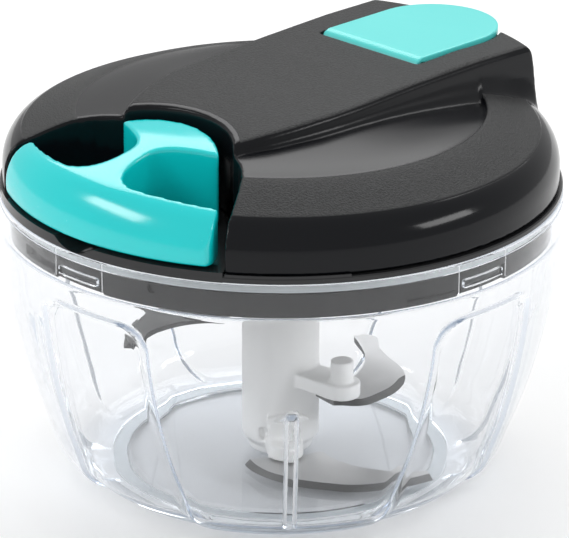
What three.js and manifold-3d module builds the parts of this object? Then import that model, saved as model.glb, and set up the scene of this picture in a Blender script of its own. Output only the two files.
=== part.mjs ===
// Pull cord food chopper: clear bowl, three blades on a shaft, dark lid with a cord reel,
// teal pull handle and pale teal hatch.
// Millimetres, +Z up. Origin: centre of the bowl's foot on the table. The pull handle faces -Y.
import * as THREE from 'three';
import { mergeVertices } from 'three/addons/utils/BufferGeometryUtils.js';
import Module from 'manifold-3d';

const wasm = await Module();
wasm.setup();

// Driving dimensions shared by several pieces
const fit = 0.3;
const wideFit = 0.6;
const overrun = 2;
const lidWall = 2.2;
const largeFacets = 48;
const mediumFacets = 24;
const smallFacets = 16;
const screwFacets = 8;

// Bowl: outer radius at the rim, heights above the table, and how the clear wall is made
const bowlRadius = 66;
const bowlRim = 71;
const bowlLedge = 62.2;
const bowlWall = 2.6;
const bowlRimWall = 2.2;
const bowlFloor = 4.2;
const bowlFootLift = 0.6;
const bowlBaseRadius = 43.5;
const bowlBodyShares = [
  [0.694, 0.024], [0.747, 0.065], [0.8, 0.13], [0.832, 0.226], [0.883, 0.355],
  [0.929, 0.516], [0.962, 0.68], [0.98, 0.8], [0.985, 0.835], [0.992, 0.905], [1, 1],
];
const panelCount = 4;
const panelTurn = 2.5;
const panelTopHalfWidth = 14.5;
const panelFootHalfWidth = 16.1;
const panelStep = 1.1;
const panelDepth = 1.5;
const panelTopShare = 0.8;
const baffleHalfWidth = 1.5;
const baffleCrestHalfWidth = 0.7;
const baffleDepth = 1.6;
const baffleTopShare = 0.6;
const rimBead = 1.2;

// Lugs inside the bowl's rim and the channels in the lid's skirt that take them
const lugHalfLength = 6.2;
const lugDepth = 6.8;
const lugHeight = 2;
const lugReach = 1.2;
const lockAngle = 12;
const channelGap = 0.42;

// Soft ring under the bowl and steel pin that the blades turn on
const footRingOuter = 40.2;
const footRingWidth = 3.2;
const footRingHeight = 1.8;
const pinRadius = 2;
const pinLength = 19.4;
const pinBossRadius = 5;
const pinBossHeight = 3.2;

// Blade shaft: white tube with three arms
const shaftRadius = 9.2;
const shaftGap = 0.8;
const shaftSocketRadius = 7.1;
const shaftSocketFloor = 27;
const armThickness = 3.6;
const armHalfWidth = 4.4;
const bladeThickness = 1.2;
const bladeBevel = 1.7;
const bladePostRadius = 1.5;
const armPegRadius = 2.7;
const armPegHeight = 5.4;
const shaftFootTaper = 1.5;
const keeperAngle = -45;
const keeperHalfWidth = 2.9;
const keeperReach = 1.6;
const keeperHeight = 10.7;
const windowAngle = 25;
const windowHalfAngle = 8;
const windowLift = 3.9;
const windowHeight = 3.3;
const windowDepth = 1.4;

// Outlines: polar angle in degrees, then radius as a share of the blade's tip radius
const longCutShares = [[-77, 0.38], [-58, 0.49], [-40, 0.6], [-25, 0.7], [-15, 0.79], [0, 0.893], [14, 1]];
const longBackShares = [[16, 0.945], [8, 0.79], [2, 0.6], [0, 0.42], [2, 0.31], [-28, 0.29], [-55, 0.3]];
const shortCutShares = [[-90, 0.62], [-75, 0.76], [-55, 0.87], [-34, 0.92], [-10, 0.96], [14, 1]];
const shortBackShares = [[11, 0.89], [-15, 0.76], [-45, 0.6], [-66, 0.42], [-80, 0.4]];
const longBladeReach = 41.4;
const shortBladeReach = 32.4;
const longArmReach = 21;
const shortArmReach = 15.6;
const pegArmReach = 23.5;
const lowerBladeHeight = 5;
const middleBladeHeight = 21;
const upperBladeHeight = 37.4;
const blades = [
  { name: 'lower_blade', tip: longBladeReach, bottom: lowerBladeHeight, turn: 0, arm: -38,
    armReach: shortArmReach, cutShares: longCutShares, backShares: longBackShares, peg: false },
  { name: 'middle_blade', tip: shortBladeReach, bottom: middleBladeHeight, turn: 75, arm: 4,
    armReach: pegArmReach, cutShares: shortCutShares, backShares: shortBackShares, peg: true },
  { name: 'upper_blade', tip: longBladeReach, bottom: upperBladeHeight, turn: -120, arm: -148,
    armReach: longArmReach, cutShares: longCutShares, backShares: longBackShares, peg: false },
];

// Lid base: skirt inside the rim, flange on the rim, plate under the reel
const skirtGap = 0.5;
const skirtLift = 0.4;
const skirtThickness = 2.8;
const flangeThickness = 1.4;
const flangeInset = 0.6;
const plateLift = 1.9;
const plateThickness = 2.2;
const bearingBossRadius = 9;
const bearingBossDrop = 1.7;
const gasketDepth = 2.4;
const gasketHeight = 1.8;
const gasketWidth = 1.2;

// Lid cover: outside of revolution, raised strap, hollow for the handle
const coverInset = 1;
const coverRise = 20;
const coverSideShares = [[1, 0], [0.998, 0.15], [0.991, 0.35], [0.978, 0.5], [0.968, 0.56]];
const coverCrownShares = [[0.923, 0.61], [0.862, 0.695], [0.8, 0.77]];
const dishInset = 17.3;
const dishRimShare = 0.825;
const dishMiddleShares = [[0.385, 0.95], [0, 0.99]];
const dishTilt = 2.7;
const cavityDrop = 4.4;
const strapFrontInset = 31;
const strapRise = 4.3;
const strapSideShares = [
  [0, 0], [0.094, 0.35], [0.23, 0.6], [0.355, 0.7], [0.563, 0.88], [0.77, 1], [1, 0.93],
];
const strapHalfWidth = 25.2;
const strapPlanShares = [[0.714, 0], [0.833, 0.094], [0.964, 0.23], [1, 0.334], [0.984, 0.44]];
const strapEndInset = 3.2;
const strapRootDepth = 13;
const recessCentreInset = 13.1;
const recessRadius = 25.9;
const recessMouthHalfWidth = 17.7;
const recessShoulderHalfWidth = 26.8;
const recessShoulderBack = 12.6;
const recessAngle = 34;
const shelfRise = 0.9;
const scoopHalfWidth = 6.5;
const scoopDepth = 2.2;
const scoopReach = 9;
const postRadius = 3.4;
const postInset = 15;
const postAngles = [-25, 50, 130, 205];

// Hatch at the back of the strap
const hatchProud = 0.5;
const hatchThickness = 1.9;
const hatchHalfWidth = 15.4;
const hatchLength = 39.9;
const hatchOverhang = 4;
const hatchGap = 0.6;
const hatchBarrel = 2.2;
const hatchBarrelGap = 0.36;
const hatchPinRadius = 0.8;
const hatchPinSeat = 3;
const hatchSeatDepth = 2.8;
const hatchSeatThickness = 4;
const chuteHalfWidth = 12;
const chuteFrontInset = 5.3;
const chuteLength = 21.6;
const chuteWall = 2;
const plugDepth = 1.6;
const plugWall = 1.6;

// Pull handle
const handleAngle = 31.2;
const handleProud = 0.5;
const handleGap = 0.7;
const handleRise = 18;
const handleArch = 2.3;
const handleSideShares = [
  [0.995, 0], [1, 0.16], [0.992, 0.32], [0.976, 0.45], [0.953, 0.57], [0.93, 0.65], [0.904, 0.705],
];
const handleCrownShares = [[0.824, 0.78], [0.733, 0.845], [0.641, 0.93], [0.58, 0.985], [0.44, 1]];
const handleBarWidth = 6.9;
const webHalfWidth = 2.9;
const webFlare = 4.2;
const crescentRadius = 22.6;
const crescentGap = 3.4;
const crescentHalfSpan = 15.1;
const crescentThickness = 5;
const handleCordHole = 1.5;
const handleKnotRadius = 3;
const handleKnotDepth = 5;
const handleKnotInset = 12.6;
const handleKnotSlot = 1.7;

// Reel mechanism, from the cup on the drive shaft up to the housing's top
const cupInset = 2.1;
const cupLift = 0.7;
const cupPlate = 1.5;
const cupDepth = 5.2;
const cupWall = 2.5;
const toothDepth = 1.8;
const toothCount = 12;
const driveShaftRadius = 4;
const driveShaftReach = 6.8;
const dogRadius = 6.5;
const dogHalfAngle = 18;
const dogHeight = 5.2;
const dogCount = 3;
const bushWall = 1.7;
const clipDrop = 1.2;
const clipThickness = 0.7;
const clipRadius = 6;
const clipGrooveDepth = 0.7;
const clipOpening = 70;
const pawlInset = 7.5;
const pawlPostRadius = 1.4;
const pawlEyeRadius = 2.7;
const pawlHeight = 3.5;
const pawlReachAngle = -50;
const pawlTipAngle = 10;
const pawlTipWidth = 2.2;
const pawlTipGap = 1.05;
const pawlWaist = 2.2;
const reelGap = 0.7;
const reelFlange = 1.5;
const cordDepth = 5.1;
const reelDrumWall = 2.3;
const reelDrumHeight = 8;
const reelFloor = 2.7;
const axleRadius = 3;
const arborRadius = 5;
const housingGap = 1;
const housingWall = 1.5;
const housingTopThickness = 1.7;
const housingEarRadius = 3.6;
const housingEarHeight = 4;
const housingEarReach = 3.2;
const housingEarAngles = [-20, 20, 160, 200];
const cordWindowHalfAngle = 14;
const cordWindowHalfHeight = 3.6;
const cordBoreRadius = 1.2;
const springTurns = 5;
const springStepsPerTurn = 12;
const springThickness = 0.35;
const springHeight = 6.6;
const guideHoleRadius = 1.5;
const guideBodyRadius = 3;
const guideFlangeRadius = 4.2;
const guideFlange = 0.9;
const screwShankRadius = 1.4;
const screwCoreRadius = 1.1;
const screwHeadRadius = 2.7;
const screwHeadHeight = 1.2;
const housingScrewLength = 4.6;
const coverScrewLength = 9;
const crossSlotHalfWidth = 0.45;
const crossSlotHalfLength = 1.6;
const crossSlotDepth = 0.7;

// Radii and places in plan that follow from the ones above
const rimInner = bowlRadius - bowlRimWall;
const skirtRadius = rimInner - skirtGap;
const skirtInner = skirtRadius - skirtThickness;
const lugRadius = rimInner - lugReach;
const flangeRadius = bowlRadius - flangeInset;
const coverRadius = bowlRadius - coverInset;
const dishRadius = coverRadius - dishInset;
const strapFront = strapFrontInset - coverRadius;
const strapEndRadius = coverRadius - strapEndInset;
const recessCentre = recessCentreInset - coverRadius;
const recessBack = recessCentre + recessRadius;
const recessShoulder = [recessShoulderHalfWidth, recessCentre + recessShoulderBack];
const postCircle = coverRadius - postInset;
const handleRadius = coverRadius + handleProud;
const handleBarInner = handleRadius - handleBarWidth;
const crescentCentre = recessBack - crescentGap - crescentRadius;
const hatchTip = coverRadius + hatchOverhang;
const hatchFront = hatchTip - hatchLength;
const hatchRoundCentre = hatchTip - hatchHalfWidth;
const hatchAxisY = hatchFront + hatchBarrel;
const chuteFront = hatchFront + chuteFrontInset;
const chuteRoundCentre = chuteFront + chuteLength - chuteHalfWidth;
const housingRadius = -recessBack - lidWall - housingGap;
const housingEarCircle = housingRadius + housingEarReach;
const reelFlangeRadius = housingRadius - housingWall - reelGap;
const reelDrumRadius = reelFlangeRadius - cordDepth;
const reelBarrelRadius = reelDrumRadius - reelDrumWall;
const cupRadius = reelFlangeRadius - cupInset;
const toothRoot = cupRadius - cupWall;
const toothTip = toothRoot - toothDepth;
const pawlCircle = toothRoot - pawlInset;

// Heights that follow, from the bowl up
const pinTop = bowlFloor + pinLength;
const lugBottom = bowlRim - lugDepth;
const skirtBottom = bowlLedge + skirtLift;
const plateBottom = skirtBottom + plateLift;
const plateTop = plateBottom + plateThickness;
const bearingBossBottom = plateBottom - bearingBossDrop;
const shaftTop = bearingBossBottom - shaftGap;
const driveShaftBottom = shaftTop - driveShaftReach;
const clipBottom = bearingBossBottom - clipDrop;
const gasketBottom = bowlRim - gasketDepth;
const flangeBottom = bowlRim + fit;
const flangeTop = flangeBottom + flangeThickness;
const coverFoot = flangeTop + fit;
const recessFloor = flangeTop + shelfRise;
const handleFoot = recessFloor + handleGap;
const cupBottom = plateTop + cupLift;
const driveCupFloor = cupBottom + cupPlate;
const cupRim = cupBottom + cupDepth;
const pawlBottom = driveCupFloor + fit;
const reelBottom = cupRim + wideFit;
const cordLine = reelBottom + reelFlange + reelDrumHeight / 2;
const coverTop = coverFoot + coverRise;
const strapRoot = coverTop - strapRootDepth;
const strapTop = coverTop + strapRise;
const hatchTop = strapTop + hatchProud;
const hatchAxisZ = hatchTop - hatchBarrel;
const hatchSeat = hatchTop - hatchSeatDepth;
const chuteTop = hatchSeat - hatchSeatThickness - wideFit;

// Outlines in real sizes
const coverSide = placed(coverSideShares, coverRadius, coverFoot, coverRise);
const coverCrown = placed(coverCrownShares, coverRadius, coverFoot, coverRise);
const dishRim = coverFoot + coverRise * dishRimShare;
const dishMiddle = placed(dishMiddleShares, coverRadius, coverFoot, coverRise);
const strapLength = strapEndRadius - strapFront;
const strapSide = strapSideShares.map(([run, rise]) => [
  strapFront + strapLength * run, coverTop + strapRise * rise,
]);
const strapPlan = strapPlanShares.map(([width, run]) => [
  strapHalfWidth * width, strapFront + strapLength * run,
]);
const handleSide = placed(handleSideShares, handleRadius, handleFoot, handleRise);
const handleCrown = placed(handleCrownShares, handleRadius, handleFoot, handleRise);
const housingTop = dishMiddle[0][1] - cavityDrop - fit;

const finishes = {
  clear: { color: 0xe6eef2, roughness: 0.08, metalness: 0, transparent: true, opacity: 0.3 },
  silicone: { color: 0xd9dedf, roughness: 0.6, metalness: 0 },
  dark: { color: 0x2c2e30, roughness: 0.35, metalness: 0 },
  teal: { color: 0x2fd0c8, roughness: 0.22, metalness: 0 },
  paleTeal: { color: 0x8be6df, roughness: 0.4, metalness: 0 },
  white: { color: 0xf2f2f0, roughness: 0.4, metalness: 0 },
  steel: { color: 0xb4b6b8, roughness: 0.28, metalness: 1 },
  spring: { color: 0x7d8084, roughness: 0.4, metalness: 1 },
};

// Outline points from shares of a radius and of a rise above a foot
function placed(shares, radius, foot, rise) {
  return shares.map(([across, up]) => [radius * across, foot + rise * up]);
}

const radians = (degrees) => THREE.MathUtils.degToRad(degrees);
const polar = (radius, degrees) => [radius * Math.cos(radians(degrees)), radius * Math.sin(radians(degrees))];
const lift = (points, height) => points.map(([x, y]) => [x, y + height]);
const mirrored = (points) => [...points].reverse().map(([x, y]) => [-x, y]);

// Signed volume of an indexed geometry, to turn its faces outwards
function signedVolume(position, index) {
  const [a, b, c] = [new THREE.Vector3(), new THREE.Vector3(), new THREE.Vector3()];
  let total = 0;
  for (let i = 0; i < index.length; i += 3) {
    a.fromBufferAttribute(position, index[i]);
    b.fromBufferAttribute(position, index[i + 1]);
    c.fromBufferAttribute(position, index[i + 2]);
    total += a.dot(b.cross(c));
  }
  return total;
}

// A closed geometry with merged vertices becomes a solid for cutting and joining
function solid(geometry) {
  geometry.deleteAttribute('normal');
  geometry.deleteAttribute('uv');
  const merged = mergeVertices(geometry);
  const index = Uint32Array.from(merged.index.array);
  if (signedVolume(merged.attributes.position, index) < 0) {
    for (let i = 0; i < index.length; i += 3) {
      [index[i], index[i + 1]] = [index[i + 1], index[i]];
    }
  }
  const vertProperties = Float32Array.from(merged.attributes.position.array);
  return new wasm.Manifold(new wasm.Mesh({ numProp: 3, vertProperties, triVerts: index }));
}

// The geometry of a finished solid
function surface(body) {
  const cut = body.getMesh();
  const geometry = new THREE.BufferGeometry();
  geometry.setAttribute('position', new THREE.BufferAttribute(cut.vertProperties, 3));
  geometry.setIndex(new THREE.BufferAttribute(cut.triVerts, 1));
  geometry.computeVertexNormals();
  return geometry;
}

const joined = (...bodies) => bodies.reduce((sum, body) => sum.add(body));
const cutBy = (body, ...tools) => tools.reduce((rest, tool) => rest.subtract(tool), body);

// Solid of revolution about Z from [radius, height] points, closed back to its first point
function turned(points, facets = largeFacets) {
  const loop = [...points, points[0]].map(([r, z]) => new THREE.Vector2(r, z));
  return solid(new THREE.LatheGeometry(loop, facets).rotateX(Math.PI / 2));
}

const tube = (inner, outer, low, high, facets = largeFacets) =>
  turned([[inner, low], [outer, low], [outer, high], [inner, high]], facets);
const rod = (radius, low, high, facets = smallFacets) => tube(0, radius, low, high, facets);

// Straight prism on [x, y] points between two heights
function prism(points, low, high) {
  const shape = new THREE.Shape(points.map(([x, y]) => new THREE.Vector2(x, y)));
  const geometry = new THREE.ExtrudeGeometry(shape, { depth: high - low, bevelEnabled: false });
  return solid(geometry.translate(0, 0, low));
}

// Prism across the lid on [y, z] points, from -halfWidth to halfWidth along X
function crossPrism(points, halfWidth) {
  const shape = new THREE.Shape(points.map(([y, z]) => new THREE.Vector2(y, z)));
  const geometry = new THREE.ExtrudeGeometry(shape, { depth: 2 * halfWidth, bevelEnabled: false });
  const axes = new THREE.Matrix4().makeBasis(
    new THREE.Vector3(0, 1, 0), new THREE.Vector3(0, 0, 1), new THREE.Vector3(1, 0, 0));
  return solid(geometry.translate(0, 0, -halfWidth).applyMatrix4(axes));
}

// Sector of a ring between two angles in degrees
function sector(inner, outer, from, to, low, high) {
  const steps = Math.max(2, Math.ceil((to - from) / 5));
  const outerArc = arc(0, 0, outer, from, to, steps);
  const innerArc = inner > 0 ? arc(0, 0, inner, to, from, steps) : [[0, 0]];
  return prism([...outerArc, ...innerArc], low, high);
}

// Points of an arc, both ends included
function arc(x, y, radius, from, to, steps) {
  const points = [];
  for (let i = 0; i <= steps; i += 1) {
    const [dx, dy] = polar(radius, from + ((to - from) * i) / steps);
    points.push([x + dx, y + dy]);
  }
  return points;
}

// Rod along X or Y through a point
function rodAlongX(radius, y, z, halfLength, facets = smallFacets) {
  const geometry = new THREE.CylinderGeometry(radius, radius, 2 * halfLength, facets);
  return solid(geometry.rotateZ(Math.PI / 2).translate(0, y, z));
}

function rodAlongY(radius, x, z, front, back, facets = smallFacets) {
  const geometry = new THREE.CylinderGeometry(radius, radius, back - front, facets);
  return solid(geometry.translate(x, (front + back) / 2, z));
}

// Closed skin over rings of equal point count, with flat fans at both ends
function skinned(rings) {
  const count = rings[0].length;
  const positions = rings.flat(2);
  const triangles = [];
  for (let i = 0; i + 1 < rings.length; i += 1) {
    for (let j = 0; j < count; j += 1) {
      const k = (j + 1) % count;
      const [a, b, c, d] = [i * count + j, i * count + k, (i + 1) * count + k, (i + 1) * count + j];
      triangles.push(a, b, c, a, c, d);
    }
  }
  const last = (rings.length - 1) * count;
  const [first, end] = [positions.length / 3, positions.length / 3 + 1];
  positions.push(0, 0, rings[0][0][2], 0, 0, rings[rings.length - 1][0][2]);
  for (let j = 0; j < count; j += 1) {
    const k = (j + 1) % count;
    triangles.push(first, k, j, end, last + j, last + k);
  }
  const geometry = new THREE.BufferGeometry();
  geometry.setAttribute('position', new THREE.Float32BufferAttribute(positions, 3));
  geometry.setIndex(triangles);
  return solid(geometry);
}

const group = new THREE.Group();
group.name = 'pull_cord_chopper';

function piece(name, body, finish) {
  const mesh = new THREE.Mesh(surface(body), new THREE.MeshStandardMaterial(finishes[finish]));
  mesh.name = name;
  group.add(mesh);
}

// Angles of the bowl's columns at one ring: panel, its step, the plain wall and the baffle, four times round
function bowlColumns(radius) {
  const pitch = 360 / panelCount;
  const rise = THREE.MathUtils.clamp((radius - bowlBaseRadius) / (bowlRadius - bowlBaseRadius), 0, 1);
  const half = THREE.MathUtils.lerp(panelFootHalfWidth, panelTopHalfWidth, rise);
  const panel = THREE.MathUtils.radToDeg(Math.asin(half / radius));
  const step = THREE.MathUtils.radToDeg(Math.asin((half + panelStep) / radius));
  const baffle = THREE.MathUtils.radToDeg(baffleHalfWidth / radius);
  const crest = THREE.MathUtils.radToDeg(baffleCrestHalfWidth / radius);
  const plain = pitch / 2 - baffle - step;
  const columns = [];
  for (let i = 0; i < panelCount; i += 1) {
    const centre = i * pitch + panelTurn;
    for (const share of [-1, -0.5, 0, 0.5, 1]) {
      columns.push({ angle: centre + share * panel, kind: 'panel' });
    }
    for (const share of [0, 1 / 3, 2 / 3]) {
      columns.push({ angle: centre + step + share * plain, kind: 'plain' });
    }
    columns.push({ angle: centre + pitch / 2 - baffle, kind: 'plain' });
    columns.push({ angle: centre + pitch / 2 - crest, kind: 'baffle' });
    columns.push({ angle: centre + pitch / 2 + crest, kind: 'baffle' });
    columns.push({ angle: centre + pitch / 2 + baffle, kind: 'plain' });
    for (const share of [2 / 3, 1 / 3, 0]) {
      columns.push({ angle: centre + pitch - step - share * plain, kind: 'plain' });
    }
  }
  return columns;
}

// One ring of the bowl: the panel sets both walls in, the baffle stands out inside
function bowlRing(radius, height, panelIn, baffleIn) {
  return bowlColumns(radius).map(({ angle, kind }) => {
    const inset = { panel: panelIn, baffle: baffleIn, plain: 0 }[kind];
    return [...polar(radius - inset, angle), height];
  });
}

function bowlOuterRadius(height) {
  const share = height / bowlLedge;
  const shares = [[bowlBaseRadius / bowlRadius, 0], ...bowlBodyShares];
  const next = shares.findIndex(([, z]) => z >= share);
  if (next <= 0) {
    return bowlRadius * (next < 0 ? 1 : shares[0][0]);
  }
  const [[r0, z0], [r1, z1]] = [shares[next - 1], shares[next]];
  return bowlRadius * (r0 + ((r1 - r0) * (share - z0)) / (z1 - z0));
}

function makeBowl() {
  const grooveOuter = footRingOuter + fit;
  const grooveInner = footRingOuter - footRingWidth - fit;
  const grooveTop = footRingHeight + fit;
  const plain = (radius, height) => bowlRing(radius, height, 0, 0);
  const rings = [
    plain(grooveInner, bowlFootLift + fit), plain(grooveInner, grooveTop), plain(grooveOuter, grooveTop),
    plain(grooveOuter, bowlFootLift), plain(bowlBaseRadius, bowlFootLift),
  ];
  for (const [share, level] of bowlBodyShares) {
    const deep = level < panelTopShare ? panelDepth : 0;
    rings.push(bowlRing(bowlRadius * share, bowlLedge * level, deep, 0));
  }
  rings.push(plain(bowlRadius, bowlRim - rimBead), plain(bowlRadius, bowlRim), plain(rimInner, bowlRim));
  rings.push(plain(rimInner, bowlLedge));
  for (const [share, level] of [...bowlBodyShares].reverse()) {
    const height = bowlLedge * level;
    const inner = bowlRadius * share - bowlWall;
    const deep = level < panelTopShare ? panelDepth : 0;
    const baffle = level < baffleTopShare ? baffleDepth : 0;
    if (height > bowlFloor + fit) {
      rings.push(bowlRing(inner, height, deep, baffle));
    }
  }
  rings.push(plain(bowlOuterRadius(bowlFloor) - bowlWall - panelDepth, bowlFloor));
  const shell = skinned(rings);
  const boss = turned([
    [0, bowlFloor - fit], [pinBossRadius + fit, bowlFloor - fit],
    [pinBossRadius, bowlFloor + pinBossHeight], [0, bowlFloor + pinBossHeight],
  ], smallFacets);
  const pinBore = rod(pinRadius + fit, bowlFloor - fit, pinTop);
  const lugAngle = THREE.MathUtils.radToDeg(lugHalfLength / rimInner);
  const lugs = [];
  for (let i = 0; i < panelCount; i += 1) {
    const centre = (i * 360) / panelCount;
    const outer = rimInner + bowlRimWall / 2;
    const [from, to] = [centre - lugAngle, centre + lugAngle];
    lugs.push(sector(lugRadius, outer, from, to, lugBottom, lugBottom + lugHeight));
  }
  piece('bowl', joined(shell, boss, ...lugs).subtract(pinBore), 'clear');
  piece('foot_ring', tube(footRingOuter - footRingWidth, footRingOuter, 0, footRingHeight), 'silicone');
  piece('pivot_pin', turned([
    [0, bowlFloor], [pinRadius, bowlFloor], [pinRadius, pinTop - pinRadius / 2],
    [pinRadius / 2, pinTop], [0, pinTop],
  ], smallFacets), 'steel');
}

// Rounded bar from the axis out to reach, turned to an angle
function bar(reach, halfWidth, angle, low, high) {
  const outline = [[0, -halfWidth], ...arc(reach - halfWidth, 0, halfWidth, -90, 90, 6), [0, halfWidth]];
  return prism(outline, low, high).rotate([0, 0, angle]);
}

const armCentre = ({ arm, armReach }) => polar(armReach - armHalfWidth, arm);

function makeShaft() {
  const bottom = bowlFloor + wideFit;
  const footRadius = shaftRadius - shaftFootTaper;
  const shank = turned([
    [0, bottom], [footRadius, bottom], [shaftRadius, bottom + armHalfWidth],
    [shaftRadius, shaftTop], [0, shaftTop],
  ], mediumFacets);
  const keeperEnd = shaftRadius + keeperReach;
  const keeper = prism([
    [0, -keeperHalfWidth], [keeperEnd, -keeperHalfWidth], [keeperEnd, keeperHalfWidth], [0, keeperHalfWidth],
  ], bottom, bottom + keeperHeight).rotate([0, 0, keeperAngle]);
  const windows = [-windowAngle, windowAngle].map((turn) => {
    const centre = keeperAngle + turn;
    const low = bottom + windowLift;
    return sector(shaftRadius - windowDepth, shaftRadius + overrun, centre - windowHalfAngle,
      centre + windowHalfAngle, low, low + windowHeight);
  });
  const socket = rod(shaftSocketRadius, shaftSocketFloor, shaftTop + overrun, mediumFacets);
  const bore = rod(pinRadius + fit, bottom - overrun, pinTop + fit);
  const bossRoom = rod(pinBossRadius + wideFit, bottom - overrun, bowlFloor + pinBossHeight + fit);
  const ribs = [];
  const ribBottom = driveShaftBottom - dogHeight / 2;
  for (let i = 0; i < dogCount; i += 1) {
    const centre = ((i + 0.5) * 360) / dogCount;
    const inner = driveShaftRadius + wideFit;
    const outer = shaftSocketRadius + fit;
    const [from, to] = [centre - dogHalfAngle, centre + dogHalfAngle];
    ribs.push(sector(inner, outer, from, to, ribBottom, shaftTop - dogHeight / 2));
  }
  const arms = [];
  const slots = [];
  for (const blade of blades) {
    const top = blade.bottom + bladeThickness;
    const seat = top + fit;
    const [x, y] = armCentre(blade);
    arms.push(bar(blade.armReach, armHalfWidth, blade.arm, seat, seat + armThickness));
    arms.push(rod(bladePostRadius, blade.bottom, seat + fit).translate([x, y, 0]));
    if (blade.peg) {
      arms.push(rod(armPegRadius, seat, seat + armThickness + armPegHeight).translate([x, y, 0]));
    }
    slots.push(bladeSlot(blade));
  }
  const barrel = cutBy(shank, ...windows);
  const body = cutBy(joined(barrel, keeper, ...arms), socket, bore, bossRoom, ...slots);
  piece('blade_shaft', joined(body, ...ribs), 'white');
}

const outlineOf = ({ tip, turn }, shares) => shares.map(([angle, share]) => polar(tip * share, angle + turn));

// Room in the shaft's wall for the root of a blade
function bladeSlot(blade) {
  const outline = [...outlineOf(blade, blade.cutShares), ...outlineOf(blade, blade.backShares)];
  const grown = outline.map(([x, y]) => {
    const radius = Math.hypot(x, y);
    const out = radius < shaftRadius + armHalfWidth ? -fit : fit;
    return [x * (1 + out / radius), y * (1 + out / radius)];
  });
  const slab = prism(grown, blade.bottom - fit, blade.bottom + bladeThickness + fit);
  const [x, y] = armCentre(blade);
  return slab.subtract(rod(bladePostRadius, 0, shaftTop).translate([x, y, 0]));
}

// A sickle blade whose cutting edge is ground away from above
function makeBlade(blade) {
  const cut = outlineOf(blade, blade.cutShares);
  const back = outlineOf(blade, blade.backShares);
  const top = blade.bottom + bladeThickness;
  const ground = cut.map(([x, y], i) => {
    const [x0, y0] = cut[Math.max(0, i - 1)];
    const [x1, y1] = cut[Math.min(cut.length - 1, i + 1)];
    const length = Math.hypot(x1 - x0, y1 - y0);
    return [x - ((y1 - y0) / length) * bladeBevel, y + ((x1 - x0) / length) * bladeBevel];
  });
  const lower = [...cut, ...back];
  const upper = [...ground, ...back];
  const hole = rod(bladePostRadius + fit, blade.bottom - overrun, top + overrun)
    .translate([...armCentre(blade), 0]);
  piece(blade.name, plate(lower, upper, blade.bottom, top).subtract(hole), 'steel');
}

// Plate whose lower and upper outlines have the same number of points
function plate(lower, upper, low, high) {
  const count = lower.length;
  const contour = lower.map(([x, y]) => new THREE.Vector2(x, y));
  const crown = upper.map(([x, y]) => new THREE.Vector2(x, y));
  const faces = THREE.ShapeUtils.triangulateShape(contour, []);
  const crownFaces = THREE.ShapeUtils.triangulateShape(crown, []);
  const positions = [...lower.map(([x, y]) => [x, y, low]), ...upper.map(([x, y]) => [x, y, high])].flat();
  const triangles = [];
  for (const [a, b, c] of faces) {
    triangles.push(a, c, b);
  }
  for (const [a, b, c] of crownFaces) {
    triangles.push(a + count, b + count, c + count);
  }
  for (let i = 0; i < count; i += 1) {
    const j = (i + 1) % count;
    triangles.push(i, j, j + count, i, j + count, i + count);
  }
  const geometry = new THREE.BufferGeometry();
  geometry.setAttribute('position', new THREE.Float32BufferAttribute(positions, 3));
  geometry.setIndex(triangles);
  return solid(geometry);
}

// Plan of the hollow that the handle lies in, grown outwards by a wall or a gap
function recessOutline(grow) {
  const radius = recessRadius + grow;
  const half = THREE.MathUtils.radToDeg(Math.asin(recessMouthHalfWidth / recessRadius));
  const back = arc(0, recessCentre, radius, 90 - half, 90 + half, 12);
  const shoulder = [recessShoulder[0] + grow, recessShoulder[1] + grow / 2];
  const rim = polar(bowlRadius + 2 * lidWall, recessAngle - 90);
  const side = [rim[0] + grow, rim[1] + grow / 2];
  const front = [side[0], side[1] - bowlRadius / 2];
  return [...back, ...mirrored([front, side, shoulder]), front, side, shoulder];
}

function strapOutline(inset) {
  const endRadius = strapEndRadius - inset;
  const half = strapPlan[strapPlan.length - 1][0] - inset;
  const angle = THREE.MathUtils.radToDeg(Math.acos(half / endRadius));
  const right = strapPlan.map(([x, y]) => [x - inset, y]);
  return [...right, ...arc(0, 0, endRadius, angle, 180 - angle, 16), ...mirrored(right)];
}

// Side view of the strap, lowered by a drop and, behind the hatch's front, down to a seat height
function strapProfile(drop) {
  const top = lift(strapSide, -drop);
  const [start, end] = [strapSide[0], strapSide[strapSide.length - 1]];
  return [[start[0], strapRoot], ...top, [end[0] + overrun, end[1] - drop], [end[0] + overrun, strapRoot]];
}

function dShape(halfWidth, front, centre) {
  return [[-halfWidth, front], [halfWidth, front], ...arc(0, centre, halfWidth, 0, 180, 18)];
}

function coverSolid() {
  const crown = [...coverCrown, [dishRadius, dishRim], ...dishMiddle];
  const dome = turned([[0, coverFoot], ...coverSide, ...crown]);
  const strap = prism(strapOutline(0), strapRoot, hatchTop).intersect(
    crossPrism(strapProfile(0), bowlRadius));
  const dishFloor = turned([
    [0, strapRoot], [bowlRadius, strapRoot], [bowlRadius, coverCrown[0][1]], [dishRadius, dishRim],
    ...dishMiddle,
  ]);
  const tilted = dishFloor.translate([0, 0, -dishRim]).rotate([-dishTilt, 0, 0]).translate([0, 0, dishRim]);
  const dish = rod(dishRadius, strapRoot + overrun, hatchTop, largeFacets)
    .subtract(tilted)
    .subtract(prism(strapOutline(0), strapRoot, hatchTop + overrun));
  return dome.subtract(dish).add(strap);
}

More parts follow.
